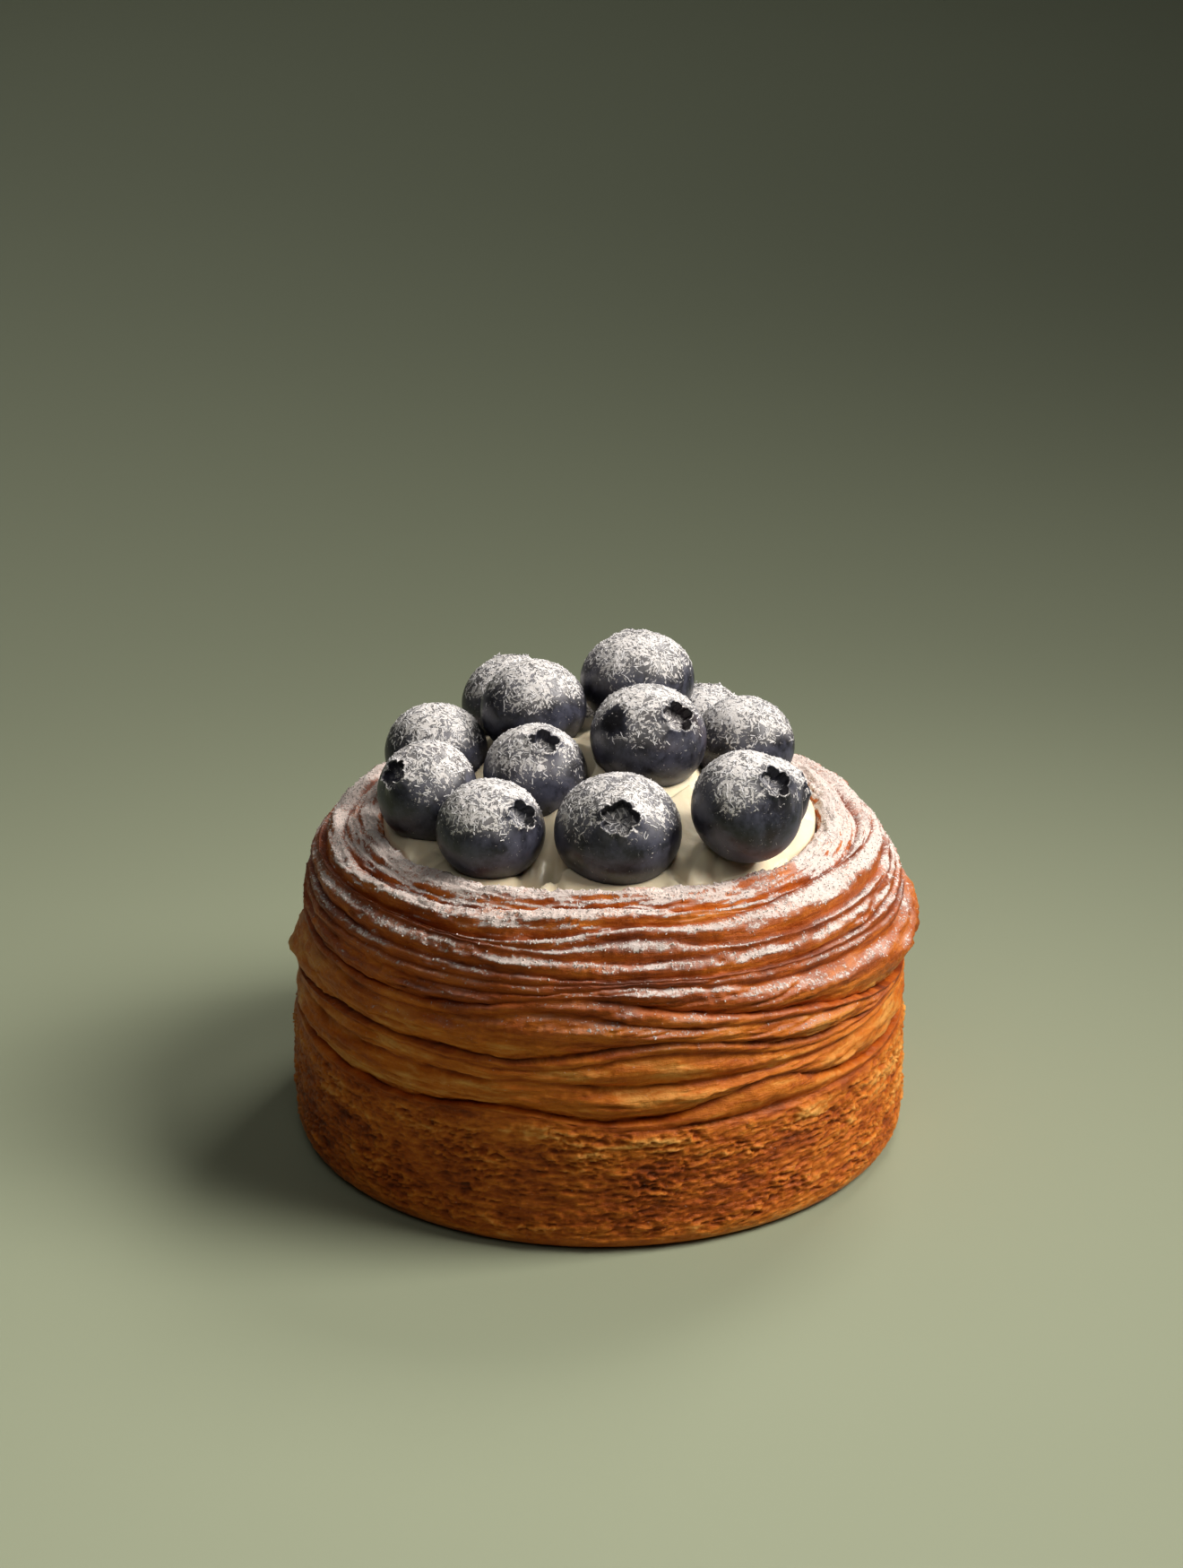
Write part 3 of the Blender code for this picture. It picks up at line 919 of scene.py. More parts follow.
@dataclass
class PastryShell:
    """The baked ring in three bands: the pitted wall, the wrapped folds and the sugared rim."""

    outline: Outline
    folds: Folds
    grains: CrustGrains = CrustGrains()
    wall_relief: WallRelief = WallRelief()
    fine_relief: FoldRelief = FoldRelief()
    tone: CrustTone = CrustTone()
    sugar: CrustSugar = CrustSugar()
    columns: int = 1040
    spacing: float = 0.245
    fray: float = 0.30
    least_gap: float = 0.12
    droop: float = 0.5
    bands: tuple[tuple[str, int, int], ...] = (
        ("crust_wall", 0, 2),
        ("crust_folds", 2, 7),
        ("crust_rim", 7, 15),
    )
    made: list[bpy.types.Object] = field(default_factory=list)

    def wrap(
        self, angle: np.ndarray, travel: np.ndarray, along: float, up: float
    ) -> np.ndarray:
        """Places on the wall in units of a grain, along wide and up tall in millimetres."""
        turn = np.radians(angle)
        reach = self.outline.wall_radius
        places = (reach * np.cos(turn) / along, reach * np.sin(turn) / along, travel / up)
        return np.stack([place.ravel() for place in places], axis=1)

    def grain(self, grain: Grain, angle: np.ndarray, travel: np.ndarray) -> np.ndarray:
        """One layer of noise over the wall."""
        places = self.wrap(angle, travel, grain.along, grain.up)
        return Noise(grain.seed).layered(places, grain.layers).reshape(travel.shape)

    def lace(self, angle: np.ndarray, travel: np.ndarray) -> np.ndarray:
        """The pitted, ragged relief of the lower wall, in millimetres."""
        grains, depth = self.grains, self.wall_relief
        shifted = travel + depth.push * self.grain(grains.wall_push, angle, travel)
        coarse = self.grain(grains.wall_coarse, angle, shifted)
        second = self.grain(grains.wall_second, angle, shifted)
        wisps = np.abs(self.grain(grains.wall_wisps, angle, shifted)) * depth.wisp_sharpness
        holes = grains.wall_cells
        places = self.wrap(angle, shifted, holes.along, holes.up)
        pits = smooth_step(Noise(holes.seed).cells(places).reshape(travel.shape), 0.04, 0.5)
        patch = 0.5 + 0.5 * smooth_step(self.grain(grains.wall_patches, angle, travel), -0.4, 0.3)
        patch = patch * (0.45 + 0.55 * smooth_step(travel, 1.5, 4.0))
        leaves = depth.coarse * terrace(coarse, depth.coarse_steps)
        leaves += depth.second * terrace(second, depth.second_steps)
        leaves += depth.wisps * (1.0 - np.minimum(wisps, 1.0)) - depth.pits * pits
        return patch * leaves - depth.set_back

    def strands(self, angle: np.ndarray, travel: np.ndarray) -> np.ndarray:
        """Thin stretched threads of dough that stand out of the surface, from 0 to 1."""
        push = self.grain(self.grains.strand_push, angle, travel) * self.fine_relief.strand_push
        thread = np.abs(self.grain(self.grains.strands, angle, travel + push))
        return 1.0 - np.minimum(thread * self.fine_relief.strand_sharpness, 1.0)

    def leaves(self, angle: np.ndarray, travel: np.ndarray) -> np.ndarray:
        """Overlapping thin leaves of dough: each juts out at its lower edge, from 0 to 1."""
        push = self.fine_relief.leaf_push * self.grain(self.grains.leaf_level, angle, travel)
        level = travel / self.fine_relief.leaf_pitch + push
        part = level - np.floor(level)
        shown = smooth_step(self.grain(self.grains.leaf_cover, angle, travel), -0.28, 0.22)
        return shown * smooth_step(part, 0.0, 0.2) * (1.0 - part) ** 0.8

    def rows(self, levels: np.ndarray) -> tuple[np.ndarray, np.ndarray, list[int]]:
        """The rings of the surface: each one's band of dough and its share of the way up it.

        Args:
            levels: Heights of the fold lines, lines by columns.

        Returns:
            The band number of each ring, its share from 0 to 1, and the first ring of each band.
            Band 0 is the pitted wall and band n lies above fold line n.
        """
        tops = np.vstack([levels, np.full((1, levels.shape[1]), self.outline.lip_end)])
        band: list[int] = []
        share: list[float] = []
        starts: list[int] = []
        for number in range(len(tops)):
            low = tops[number - 1].mean() if number else 0.0
            count = max(5, round((tops[number].mean() - low) / self.spacing))
            starts.append(len(band))
            band += [number] * count
            share += list(np.arange(count) / count)
        return np.array(band), np.array(share), starts

    def surface(self) -> tuple[np.ndarray, dict[str, np.ndarray], list[int]]:
        """The whole outer surface.

        Returns:
            Points (rings, columns, 3), the marks of each point, and the first ring of each band.
        """
        columns = np.arange(self.columns) * 360.0 / self.columns
        levels = self.folds.heights(columns)
        for number in range(len(levels)):
            wave = replace(self.grains.line_wave, seed=self.grains.line_wave.seed + number)
            levels[number] += self.fray * self.grain(wave, columns, np.zeros(self.columns))
        for number in range(1, len(levels)):
            levels[number] = np.maximum(levels[number], levels[number - 1] + self.least_gap)
        band, share, starts = self.rows(levels)
        low = np.vstack([np.zeros((1, self.columns)), levels])[band]
        high = np.vstack([levels, np.full((1, self.columns), self.outline.lip_end)])[band]
        share = np.broadcast_to(share[:, None], low.shape)
        folded = np.broadcast_to((band > 0)[:, None], low.shape).astype(float)
        angle = np.broadcast_to(columns[None, :], low.shape)
        width = high - low
        travel = low + width * share
        at = DoughGrid(band, share, width, angle, travel, folded)
        lace = self.lace(angle, travel) * smooth_step(travel, 0.0, 2.0)
        below = smooth_step((high - travel) * (1.0 - folded), 0.0, 1.2)
        wall = lace * (0.5 + 0.5 * below) - self.wall_relief.under_fold * (1.0 - below)
        relief = np.where(folded > 0, self.fold_relief(at), wall)
        melt = self.melt(at)
        melted = self.wall_relief.melted_share * lace - self.wall_relief.melted_set_back
        relief = relief * (1.0 - melt) + melted * melt
        swell = np.clip(np.sin(math.pi * share**self.folds.skew), 0.0, 1.0)
        droop = self.droop * np.minimum(width * 0.14, 0.5) * swell * folded
        points = self.outline.points(angle, travel - droop, relief)
        return points, self.marks(at, points, relief), starts

    def melt(self, at: DoughGrid) -> np.ndarray:
        """How far the lowest fold runs into the pitted wall instead of lying over it."""
        drift = self.grain(self.grains.melting, at.angle, at.share * 0.0)
        left = 1.0 - smooth_step(turn_between(at.angle, 0.0) + 40.0 * drift, -30.0, 25.0)
        hidden = smooth_step(np.abs(turn_between(at.angle, 0.0)), 100.0, 140.0)
        reach = 0.9 * np.maximum(left * (1.0 - hidden), 0.35)
        melting = reach * (1.0 - smooth_step(at.share, 0.0, 0.75))
        return np.where((at.band == 1)[:, None], melting, 0.0)

    def fold_relief(self, at: DoughGrid) -> np.ndarray:
        """Relief of the folds with their leaves, threads, fibres, blisters and frayed edges.

        Args:
            at: The points of the surface.

        Returns:
            How far each point lies out of the outline, in millimetres.
        """
        depth, grains = self.fine_relief, self.grains
        share, width, travel = at.share, at.width, at.travel
        full, fibres, blisters, crumple, frayed, sharpness, wrinkles = (
            self.grain(grain, at.angle, travel)
            for grain in (
                grains.fullness,
                grains.fibres,
                grains.blisters,
                grains.crumple,
                grains.frayed,
                grains.sharpness,
                grains.wrinkles,
            )
        )
        fuller = np.clip(0.95 + 0.55 * full, 0.6, 1.25)
        last = (at.band == at.band.max())[:, None]
        fade = np.where(last, 1.0 - smooth_step(share, 0.6, 1.0), 1.0)
        relief = self.folds.relief(share, width) * fuller * fade
        edge = bell(share - 0.62, 0.2)
        ledge = smooth_step(share, 0.5, 0.72)
        high = smooth_step(travel, 28.0, 38.0)
        more_high = 0.5 + 0.5 * high
        broad = np.clip(width / depth.full_width, 0.0, 1.0)
        sharp = 0.45 + 0.55 * smooth_step(sharpness, -0.3, 0.3)
        crease = np.exp(-share * width / 0.3) + 0.7 * np.exp(-(1.0 - share) * width / 0.22)
        lines = np.minimum(np.abs(wrinkles) * depth.wrinkle_sharpness, 1.0)
        fine = depth.fibres * fibres + depth.crumple * crumple * more_high
        fine += depth.leaves * self.leaves(at.angle, travel) - depth.leaf_base
        fine += depth.wrinkle_base - depth.wrinkles * (1.0 - lines)
        fine += depth.strands * self.strands(at.angle, travel) * (1.0 - 0.4 * high)
        fine += (0.3 + 0.7 * ledge) * high * depth.blisters * blisters
        fine += edge * depth.frayed * frayed * more_high
        cut = depth.crease - depth.crease_less_high * high
        return relief + broad * (fine - cut * sharp * crease * fade)

    def marks(
        self, at: DoughGrid, points: np.ndarray, relief: np.ndarray
    ) -> dict[str, np.ndarray]:
        """What the crust's finish reads at each point.

        Args:
            at: The points of the surface.
            points: Their places in metres.
            relief: How far they lie out of the outline, in millimetres.

        Returns:
            How dark each point is, painted shade and light included, its sugar, fibre place and
            normal.
        """
        mix, fallen = self.tone, self.sugar
        share, width, angle, travel = at.share, at.width, at.angle, at.travel
        normals = grid_normals(points)
        crease = np.exp(-share * width / 0.45) + 0.5 * np.exp(-(1.0 - share) * width / 0.3)
        crease = np.clip(crease * at.folded, 0.0, 1.0)
        edge = bell(share - 0.6, 0.24) * at.folded
        high = smooth_step(travel, 27.0, 36.0)
        cloud = mix.clouds * self.grain(self.grains.clouds, angle, travel)
        tone = mix.fold + mix.high * high + mix.edge * edge + cloud
        # Painted shade: darker towards each fold line, less so high up.
        tone += (mix.crease - mix.crease_less_high * high) * crease
        tone -= mix.strands * self.strands(angle, travel) * (1.0 - high)
        right = smooth_step(points[..., 0] / MM, -45.0, 45.0)
        # Painted shade and light: darker in the pits of the wall, paler on its ridges.
        wall_tone = mix.wall - mix.wall_pit_shade_ridge_light * np.clip(relief, -0.45, 0.45) + cloud
        wall_tone -= mix.wall_foot * (1.0 - smooth_step(travel, 0.8, 4.5))
        # Painted light: the wall is paler towards the right.
        wall_tone -= mix.wall_top * smooth_step(travel, 10.0, 17.0) + mix.wall_right_painted_light * right**3
        wall = np.where(at.folded > 0, self.melt(at), 1.0)
        tone = tone * (1.0 - wall) + wall_tone * wall
        up = normals[..., 2]
        drift = smooth_step(self.grain(self.grains.sugar_drift, angle, travel), -0.32, 0.32)
        drift = fallen.drift[0] + fallen.drift[1] * drift
        low = fallen.lowest - fallen.lower_right * right
        thick = smooth_step(travel, low, low + fallen.thickens_over) ** 1.3
        sift = smooth_step(up, 0.22, 0.86) * thick * (fallen.fall[0] + fallen.fall[1] * right)
        dust = smooth_step(up, 0.2, 0.8) * smooth_step(travel, 20.0, 33.0)
        dust *= fallen.dust[0] + fallen.dust[1] * right
        sugar = np.maximum(sift, dust) * drift + fallen.edges * edge * high * drift
        turn, spot = fallen.bare_turn, fallen.bare_travel
        bare = bell(turn_between(angle, turn[0]), turn[1]) * bell(travel - spot[0], spot[1])
        tone -= mix.bare * bare
        sugar *= (1.0 - fallen.crease_loss * crease) * (1.0 - fallen.bare_loss * bare)
        fibre = self.wrap(angle, travel, *mix.fibre_size).reshape(*travel.shape, 3)
        return {"tone": tone, "sugar": sugar, "fibre": fibre, "_normal": normals}

    def build(self, fall: SugarFall, material: bpy.types.Material) -> None:
        """Make the three bands of the crust and the foot under them.

        Args:
            fall: Says where the berries keep the sugar off.
            material: The crust's finish.
        """
        points, marks, starts = self.surface()
        normals = marks.pop("_normal")
        well = self.well_rings(points[-1])
        points = np.concatenate([points, well])
        pad = len(well)
        for key, values in marks.items():
            marks[key] = np.concatenate([values, np.repeat(values[-1:], pad, axis=0)])
        normals = np.concatenate([normals, np.repeat(normals[-1:], pad, axis=0)])
        near = np.hypot(points[..., 0], points[..., 1]) < self.sugar.berries_within * MM
        covered = near & (points[..., 2] > self.sugar.berries_from * MM)
        share = fall.open_share(points[covered], normals[covered], self.sugar.look_from * MM)
        share = smooth_step(share, 0.05, 0.9)
        sheltered = self.sugar.sheltered_share
        marks["sugar"][covered] *= sheltered + (1.0 - sheltered) * share
        limits = starts + [len(points) - 1]
        for name, first, last in self.bands:
            rings = slice(limits[first], limits[last] + 1)
            part = points[rings]
            flat = part.reshape(-1, 3)
            faces = ring_faces(len(part), self.columns)
            chosen = {}
            for key, values in marks.items():
                chosen[key] = values[rings].reshape(len(flat), -1).squeeze()
            if first == 0:
                flat = np.vstack([flat, [[0.0, 0.0, 0.0]]])
                faces += fan_faces(np.arange(self.columns), len(flat) - 1, False)
                for key, values in chosen.items():
                    chosen[key] = np.concatenate([values, values[:1]])
            band = dressed_object(name, flat, faces, chosen, material)
            self.made.append(band)
            log.info("%s: %d faces", name, len(faces))
        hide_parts("pastry")

    def well_rings(self, lip: np.ndarray) -> np.ndarray:
        """Rings from the lip's inner edge down the well's wall to its floor."""
        radius = (self.outline.rim_radius - self.outline.lip_round) * MM
        flat = np.hypot(lip[:, 0], lip[:, 1])
        base = lip * (radius / flat)[:, None]
        rings = []
        for share in (0.35, 1.0):
            ring = base.copy()
            floor = self.outline.well_floor * MM
            ring[:, 2] = lip[:, 2] + (floor - lip[:, 2]) * share
            rings.append(ring)
        return np.array(rings)


def look_way(azimuth: float, elevation: float) -> np.ndarray:
    """The unit vector of an azimuth from the front and an elevation, in degrees."""
    turn, lift = math.radians(azimuth), math.radians(elevation)
    flat = math.cos(lift)
    return np.array([flat * math.sin(turn), -flat * math.cos(turn), math.sin(lift)])


@dataclass(frozen=True)
class Berry:
    """One berry: where it sits, how big and how tall it is and which way its crown looks.

    A berry may have a bare spot that the sugar missed, also painted dark as shade: its azimuth,
    elevation and spread.
    """

    name: str
    centre: tuple[float, float, float]
    radius: float
    tallness: float
    azimuth: float
    elevation: float
    bare: tuple[float, float, float] | None = None
    crown_share: float = 0.32
    flattening: float = 0.95
    sugar_height: float = 0.10
    collar_spread: float = 0.09
    collar_height: float = 0.055
    star_height: float = 0.05
    dish_floor: float = 0.80
    unevenness: float = 0.012
    segments: int = 108
    dish_rings: int = 11
    skin_rings: int = 62

    def axes(self) -> np.ndarray:
        """The berry's own three axes as rows, the last towards its crown."""
        way = Vector(look_way(self.azimuth, self.elevation))
        return np.array(way.to_track_quat("Z", "Y").to_matrix()).T

    def local_grid(self, seed: int) -> tuple[np.ndarray, np.ndarray]:
        """The skin about the berry's own centre, in shares of its radius.

        Args:
            seed: Picks this berry's unevenness.

        Returns:
            Rings of points from its foot up to the middle of the crown's dish, and how deep in
            the dish each one is, from 0 to 1.
        """
        noise = Noise(seed)
        turn = np.arange(self.segments) * 2 * math.pi / self.segments
        ring_way = np.stack([np.cos(turn) * 1.3, np.sin(turn) * 1.3, turn * 0.0], axis=1)
        ragged = noise.layered(ring_way * 3.0, 3)
        star = np.abs(np.cos(2.5 * turn + noise.smooth(ring_way) * 0.5)) ** 0.7
        edge = self.crown_share * (0.74 + 0.30 * star + 0.13 * ragged)
        first = np.arcsin(np.clip(edge, 0.05, 0.9))
        steps = (np.arange(self.skin_rings) / (self.skin_rings - 1)) ** 1.15
        polar = first[None, :] + (math.pi - 0.02 - first[None, :]) * steps[:, None]
        collar = np.exp(-(polar - first[None, :]) / self.collar_spread)
        out = np.sin(polar) - 0.02 * collar
        rise = np.cos(polar) + (self.collar_height + self.star_height * star[None, :]) * collar
        inner = 1.0 - np.arange(1, self.dish_rings) / self.dish_rings
        wall = smooth_step(1.0 - inner, 0.0, 0.28)[:, None]
        lip_rise = rise[0][None, :]
        middle = self.dish_floor + 0.015 * noise.smooth(ring_way * 2.2)[None, :]
        dish_rise = lip_rise + (middle - lip_rise) * wall
        dish_out = edge[None, :] * inner[:, None] ** 0.8
        skin = np.stack([out * np.cos(turn), out * np.sin(turn), rise], axis=-1)[::-1]
        dish = np.stack([dish_out * np.cos(turn), dish_out * np.sin(turn), dish_rise], axis=-1)
        on_skin = np.zeros((self.skin_rings, self.segments))
        deep = np.concatenate([on_skin, np.broadcast_to(wall, dish_rise.shape)])
        grid = np.concatenate([skin, dish])
        uneven = noise.smooth(grid.reshape(-1, 3) * 1.3).reshape(grid.shape[:2])
        return grid * (1.0 + self.unevenness * uneven)[..., None], deep

    def build(self, fall: SugarFall, material: bpy.types.Material, seed: int) -> bpy.types.Object:
        """Make the berry with its sugar crust.

        Args:
            fall: Says where other berries keep the sugar off.
            material: The berry's finish.
            seed: Picks this berry's unevenness.

        Returns:
            The berry's object.
        """
        local, deep = self.local_grid(seed)
        local = local * np.array([1.0, 1.0, self.flattening]) * self.radius
        turned = local @ self.axes() * np.array([1.0, 1.0, self.tallness])
        points = (turned + np.array(self.centre)) * MM
        normals = grid_normals(points)
        flat, facing = points.reshape(-1, 3), normals.reshape(-1, 3)
        share = fall.open_share(flat, facing, 0.7 * MM)
        noise = Noise(seed + 100)
        drift = noise.layered(flat / MM / 4.0, 2)
        clumps = noise.layered(flat / MM / 0.95, 3)
        up = facing[:, 2]
        sift = smooth_step(up + 0.22 * drift, 0.0, 1.0) * smooth_step(share, 0.0, 0.8)
        sugar = sift * (0.48 + 0.18 * smooth_step(drift, -0.4, 0.4))
        dish = deep.reshape(-1)
        # The dish's inner wall: it gets painted shade and loses its sugar.
        wall = bell(dish - 0.42, 0.27) * (dish > 0.02)
        sugar = sugar * (1.0 - 0.95 * wall) * (1.0 - 0.25 * smooth_step(dish, 0.5, 1.0))
        if self.bare:
            *way, spread = self.bare
            spot = bell(np.arccos(np.clip(facing @ look_way(*way), -1.0, 1.0)), spread)
            sugar = sugar * (1.0 - smooth_step(spot + 0.25 * clumps, 0.3, 0.6))
            # Painted shadow: the bare spot is darkened with the crown's shade colour.
            wall = np.maximum(wall, smooth_step(spot + 0.2 * clumps, 0.4, 0.8))
        crust = smooth_step(sugar + 0.5 * clumps, 0.40, 0.72)
        flat = flat + facing * (self.sugar_height * MM * crust * (dish < 0.02))[:, None]
        rings = len(points)
        faces = ring_faces(rings, self.segments)
        tip = flat[-self.segments :].mean(axis=0)
        foot = flat[: self.segments].mean(axis=0)
        numbers = np.arange(self.segments)
        count = len(flat)
        faces += fan_faces(numbers + (rings - 1) * self.segments, count, True)
        faces += fan_faces(numbers, count + 1, False)
        # This mark paints shade on the dish wall and the bare spot.
        marks = {"sugar": sugar, "painted_shade": wall * 0.9}
        marks = {key: np.append(values, [values[-1], values[0]]) for key, values in marks.items()}
        shape = np.vstack([flat, tip, foot])
        berry = dressed_object(self.name + "_skin", shape, faces, marks, material)
        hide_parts(self.name)
        return berry


@dataclass
class BerryHeap:
    """The berries in the order they lie, from the back round to the front."""

    berries: tuple[Berry, ...] = (
        Berry("berry_back_left", (-12.1, 22.4, 52.3), 7.15, 0.92, 178, 68),
        Berry("berry_upper_left", (-9.0, 8.6, 56.9), 7.3, 0.92, 200, 20),
        Berry("berry_left", (-22.4, 7.2, 51.2), 7.1, 0.92, -165, 12),
        Berry("berry_left_rim", (-23.1, -7.1, 51.2), 6.9, 1.0, -53, 36),
        Berry("berry_front_left", (-14.4, -18.8, 50.7), 7.35, 0.91, 48, 36),
        Berry("berry_middle_left", (-8.6, -5.5, 53.1), 7.05, 0.97, 22, 62),
        Berry("berry_top", (5.3, 14.1, 58.9), 7.9, 0.87, 190, 40),
        Berry("berry_middle", (6.6, -2.6, 57.2), 7.95, 0.90, 43, 42, (-46, 40, 0.34)),
        Berry("berry_front", (2.4, -20.2, 51.2), 8.45, 0.89, 2, 38),
        Berry("berry_right", (19.3, -20.0, 54.5), 7.45, 1.0, 45, 45),
        Berry("berry_right_low", (22.4, -7.1, 50.4), 5.9, 0.92, 95, 20),
        Berry("berry_right_back", (19.8, 5.6, 53.0), 7.0, 0.92, 150, 15),
        Berry("berry_back_right", (15.0, 18.9, 50.0), 6.4, 0.92, 176, 68),
        Berry("berry_back", (2.0, 22.8, 47.8), 6.4, 0.92, 185, 30),
    )
    made: list[bpy.types.Object] = field(default_factory=list)

    def build(self, fall: SugarFall, material: bpy.types.Material) -> None:
        """Make every berry.

        Args:
            fall: Says where the berries keep the sugar off one another.
            material: The berries' finish.
        """
        for number, berry in enumerate(self.berries):
            self.made.append(berry.build(fall, material, SEED + number))
            log.info("%s: %.1f mm across", berry.name, 2 * berry.radius)


@dataclass
class Cream:
    """The piped cream that fills the well: a ridged mound, petals and the beds of the berries.

    A petal has a crest from a start to an end. It falls off gently on the right-hand side of
    someone who walks along the crest, and steeply on the other.
    """

    outline: Outline
    berries: tuple[Berry, ...]
    edge: float = 42.6
    rise: float = 12.6
    fullness: float = 2.0
    ridges: int = 8
    ridge_depth: float = 1.2
    twist: float = 70.0
    petals: tuple[tuple[tuple[float, float, float], tuple[float, float, float]], ...] = (
        ((12.1, -8.9, 53.0), (23.8, -21.2, 46.6)),
        ((7.0, -20.6, 46.9), (16.2, -25.2, 45.8)),
        ((-8.4, -24.0, 45.4), (-6.4, -11.0, 48.9)),
        ((29.0, -5.0, 47.0), (24.0, -16.5, 45.3)),
        ((-26.0, -8.5, 45.6), (-17.5, -20.0, 45.2)),
        ((12.5, 15.0, 52.0), (16.9, 3.5, 51.2)),
        ((-17.6, 14.5, 49.4), (-14.6, 4.0, 50.4)),
        ((-3.6, 19.5, 52.2), (-0.6, 7.0, 53.6)),
    )
    petal_gentle: float = 0.24
    petal_steep: float = 1.3
    petal_end_drop: float = 1.1
    bed_share: float = 0.72
    bed_reach: float = 0.75
    bed_fall: float = 0.5
    brim: float = 44.7
    brim_slope: float = 0.8
    dent_share: float = 0.30
    dent_from: float = 0.9
    dent_reach: float = 1.9
    gap: float = 0.1
    valleys: tuple[tuple[float, float, float, float], ...] = (
        (-10.4, -16.0, -8.7, -28.0),
        (-4.6, -14.0, -5.4, -28.5),
        (8.4, -15.0, 11.6, -27.5),
        (17.6, -17.0, 15.0, -25.4),
        (26.4, -14.5, 23.0, -18.6),
        (-21.4, -12.0, -24.6, -16.4),
        (-14.0, 1.5, -17.6, -2.6),
        (0.6, -8.6, -2.2, -14.0),
        (14.4, 2.6, 15.8, -6.6),
        (-27.0, 3.0, -21.0, 1.0),
        (26.0, 9.0, 20.0, 12.0),
    )
    valley_depth: float = 1.05
    valley_width: float = 1.3
    valley_bend: float = 0.9
    unevenness: Grain = Grain(77, 3.5, 3.5, 3)
    uneven_height: float = 0.16
    seat_share: float = 0.97
    floor_gap: float = 0.3
    columns: int = 400
    rings: int = 120

    def petal(
        self,
        x: np.ndarray,
        y: np.ndarray,
        start: tuple[float, float, float],
        end: tuple[float, float, float],
    ) -> np.ndarray:
        """The height of one petal's surface, or of its drawn-out slope, above each place.

        Args:
            x: Places across, in millimetres.
            y: Places backwards, in millimetres.
            start: Where the crest starts, with its height.
            end: Where the crest ends, with its height.

        Returns:
            The height at each place, in millimetres.
        """
        way_x, way_y = end[0] - start[0], end[1] - start[1]
        length = math.hypot(way_x, way_y)
        across, ahead = x - start[0], y - start[1]
        share = (across * way_x + ahead * way_y) / length**2
        held = np.clip(share, 0.0, 1.0)
        side = (ahead * way_x - across * way_y) / length
        slope = np.where(side > 0.0, self.petal_steep, self.petal_gentle)
        past = np.abs(share - held) * length
        crest = start[2] + (end[2] - start[2]) * held
        return crest - slope * np.abs(side) - self.petal_end_drop * past

    def valley(self, x: np.ndarray, y: np.ndarray) -> np.ndarray:
        """How deep the creases between two lobes of cream are at each place, in millimetres."""
        depth = np.zeros(x.shape)
        for from_x, from_y, to_x, to_y in self.valleys:
            way_x, way_y = to_x - from_x, to_y - from_y
            length = math.hypot(way_x, way_y)
            share = np.clip(((x - from_x) * way_x + (y - from_y) * way_y) / length**2, 0.0, 1.0)
            bend = self.valley_bend * np.sin(math.pi * share)
            side = ((y - from_y) * way_x - (x - from_x) * way_y) / length + bend
            past = np.hypot(x - from_x - way_x * share, y - from_y - way_y * share)
            past = np.maximum(past - np.abs(side) - 1.0, 0.0)
            cut = np.maximum(1.0 - np.abs(side) / self.valley_width, 0.0) ** 1.6
            depth = np.maximum(depth, self.valley_depth * cut * np.exp(-past))
        return depth

    def mound(self, x: np.ndarray, y: np.ndarray) -> np.ndarray:
        """The cream's height above each place, in millimetres, with room left for the berries."""
        reach = np.hypot(x, y)
        edge = self.outline.rim_radius - self.outline.lip_round
        inside = np.clip(1.0 - (reach / edge) ** 2, 0.0, 1.0)
        height = self.edge + self.rise * inside**self.fullness
        turn = np.arctan2(x, -y) + math.radians(self.twist) * reach / edge
        ridge = 2.0 * np.abs(np.sin(self.ridges * turn / 2.0)) - 1.0
        height += self.ridge_depth * ridge * smooth_step(reach, 2.0, 14.0) * inside**0.35
        for start, end in self.petals:
            height = np.maximum(height, self.petal(x, y, start, end))
        for berry in self.berries:
            away = np.hypot(x - berry.centre[0], y - berry.centre[1])
            bed = berry.centre[2] - self.bed_share * berry.radius * berry.tallness
            bed = bed - self.bed_fall * np.maximum(0.0, away - self.bed_reach * berry.radius)
            height = np.maximum(height, bed)
        facing = turn_between(np.degrees(np.arctan2(x, -y)), 0.0)
        brim = self.brim + self.outline.lip_rise * bell(facing, self.outline.lip_rise_spread)
        height = np.minimum(height, brim + self.brim_slope * (edge - reach))
        for berry in self.berries:
            away = np.hypot(x - berry.centre[0], y - berry.centre[1])
            ceiling = berry.centre[2] - self.dent_share * berry.radius
            clear = np.maximum(0.0, away - self.dent_from * berry.radius)
            height = np.minimum(height, ceiling + self.dent_reach * clear)
        return height

    def build(self, material: bpy.types.Material) -> bpy.types.Object:
        """Make the cream.

        Args:
            material: The cream's finish.

        Returns:
            The cream's object.
        """
        brim = self.outline.rim_radius - self.outline.lip_round - self.gap
        turn = np.arange(self.columns) * 2 * math.pi / self.columns
        reach = brim * (1.0 - np.arange(self.rings) / self.rings)
        x = reach[:, None] * np.sin(turn)
        y = -reach[:, None] * np.cos(turn)
        height = self.mound(x, y)
        grain = self.unevenness
        flat = np.stack([x.ravel(), y.ravel(), height.ravel()], axis=1)
        swell = Noise(grain.seed).layered(flat / grain.along, grain.layers)
        height = height + self.uneven_height * swell.reshape(height.shape) - self.valley(x, y)
        open_height = height.copy()
        for berry in self.berries:
            away = np.hypot(x - berry.centre[0], y - berry.centre[1])
            under = np.sqrt(np.clip(berry.radius**2 - away**2, 0.0, None)) * berry.tallness
            under = under * self.seat_share
            seat = np.where(away < berry.radius, berry.centre[2] - under - self.gap, 1e3)
            height = np.minimum(height, seat)
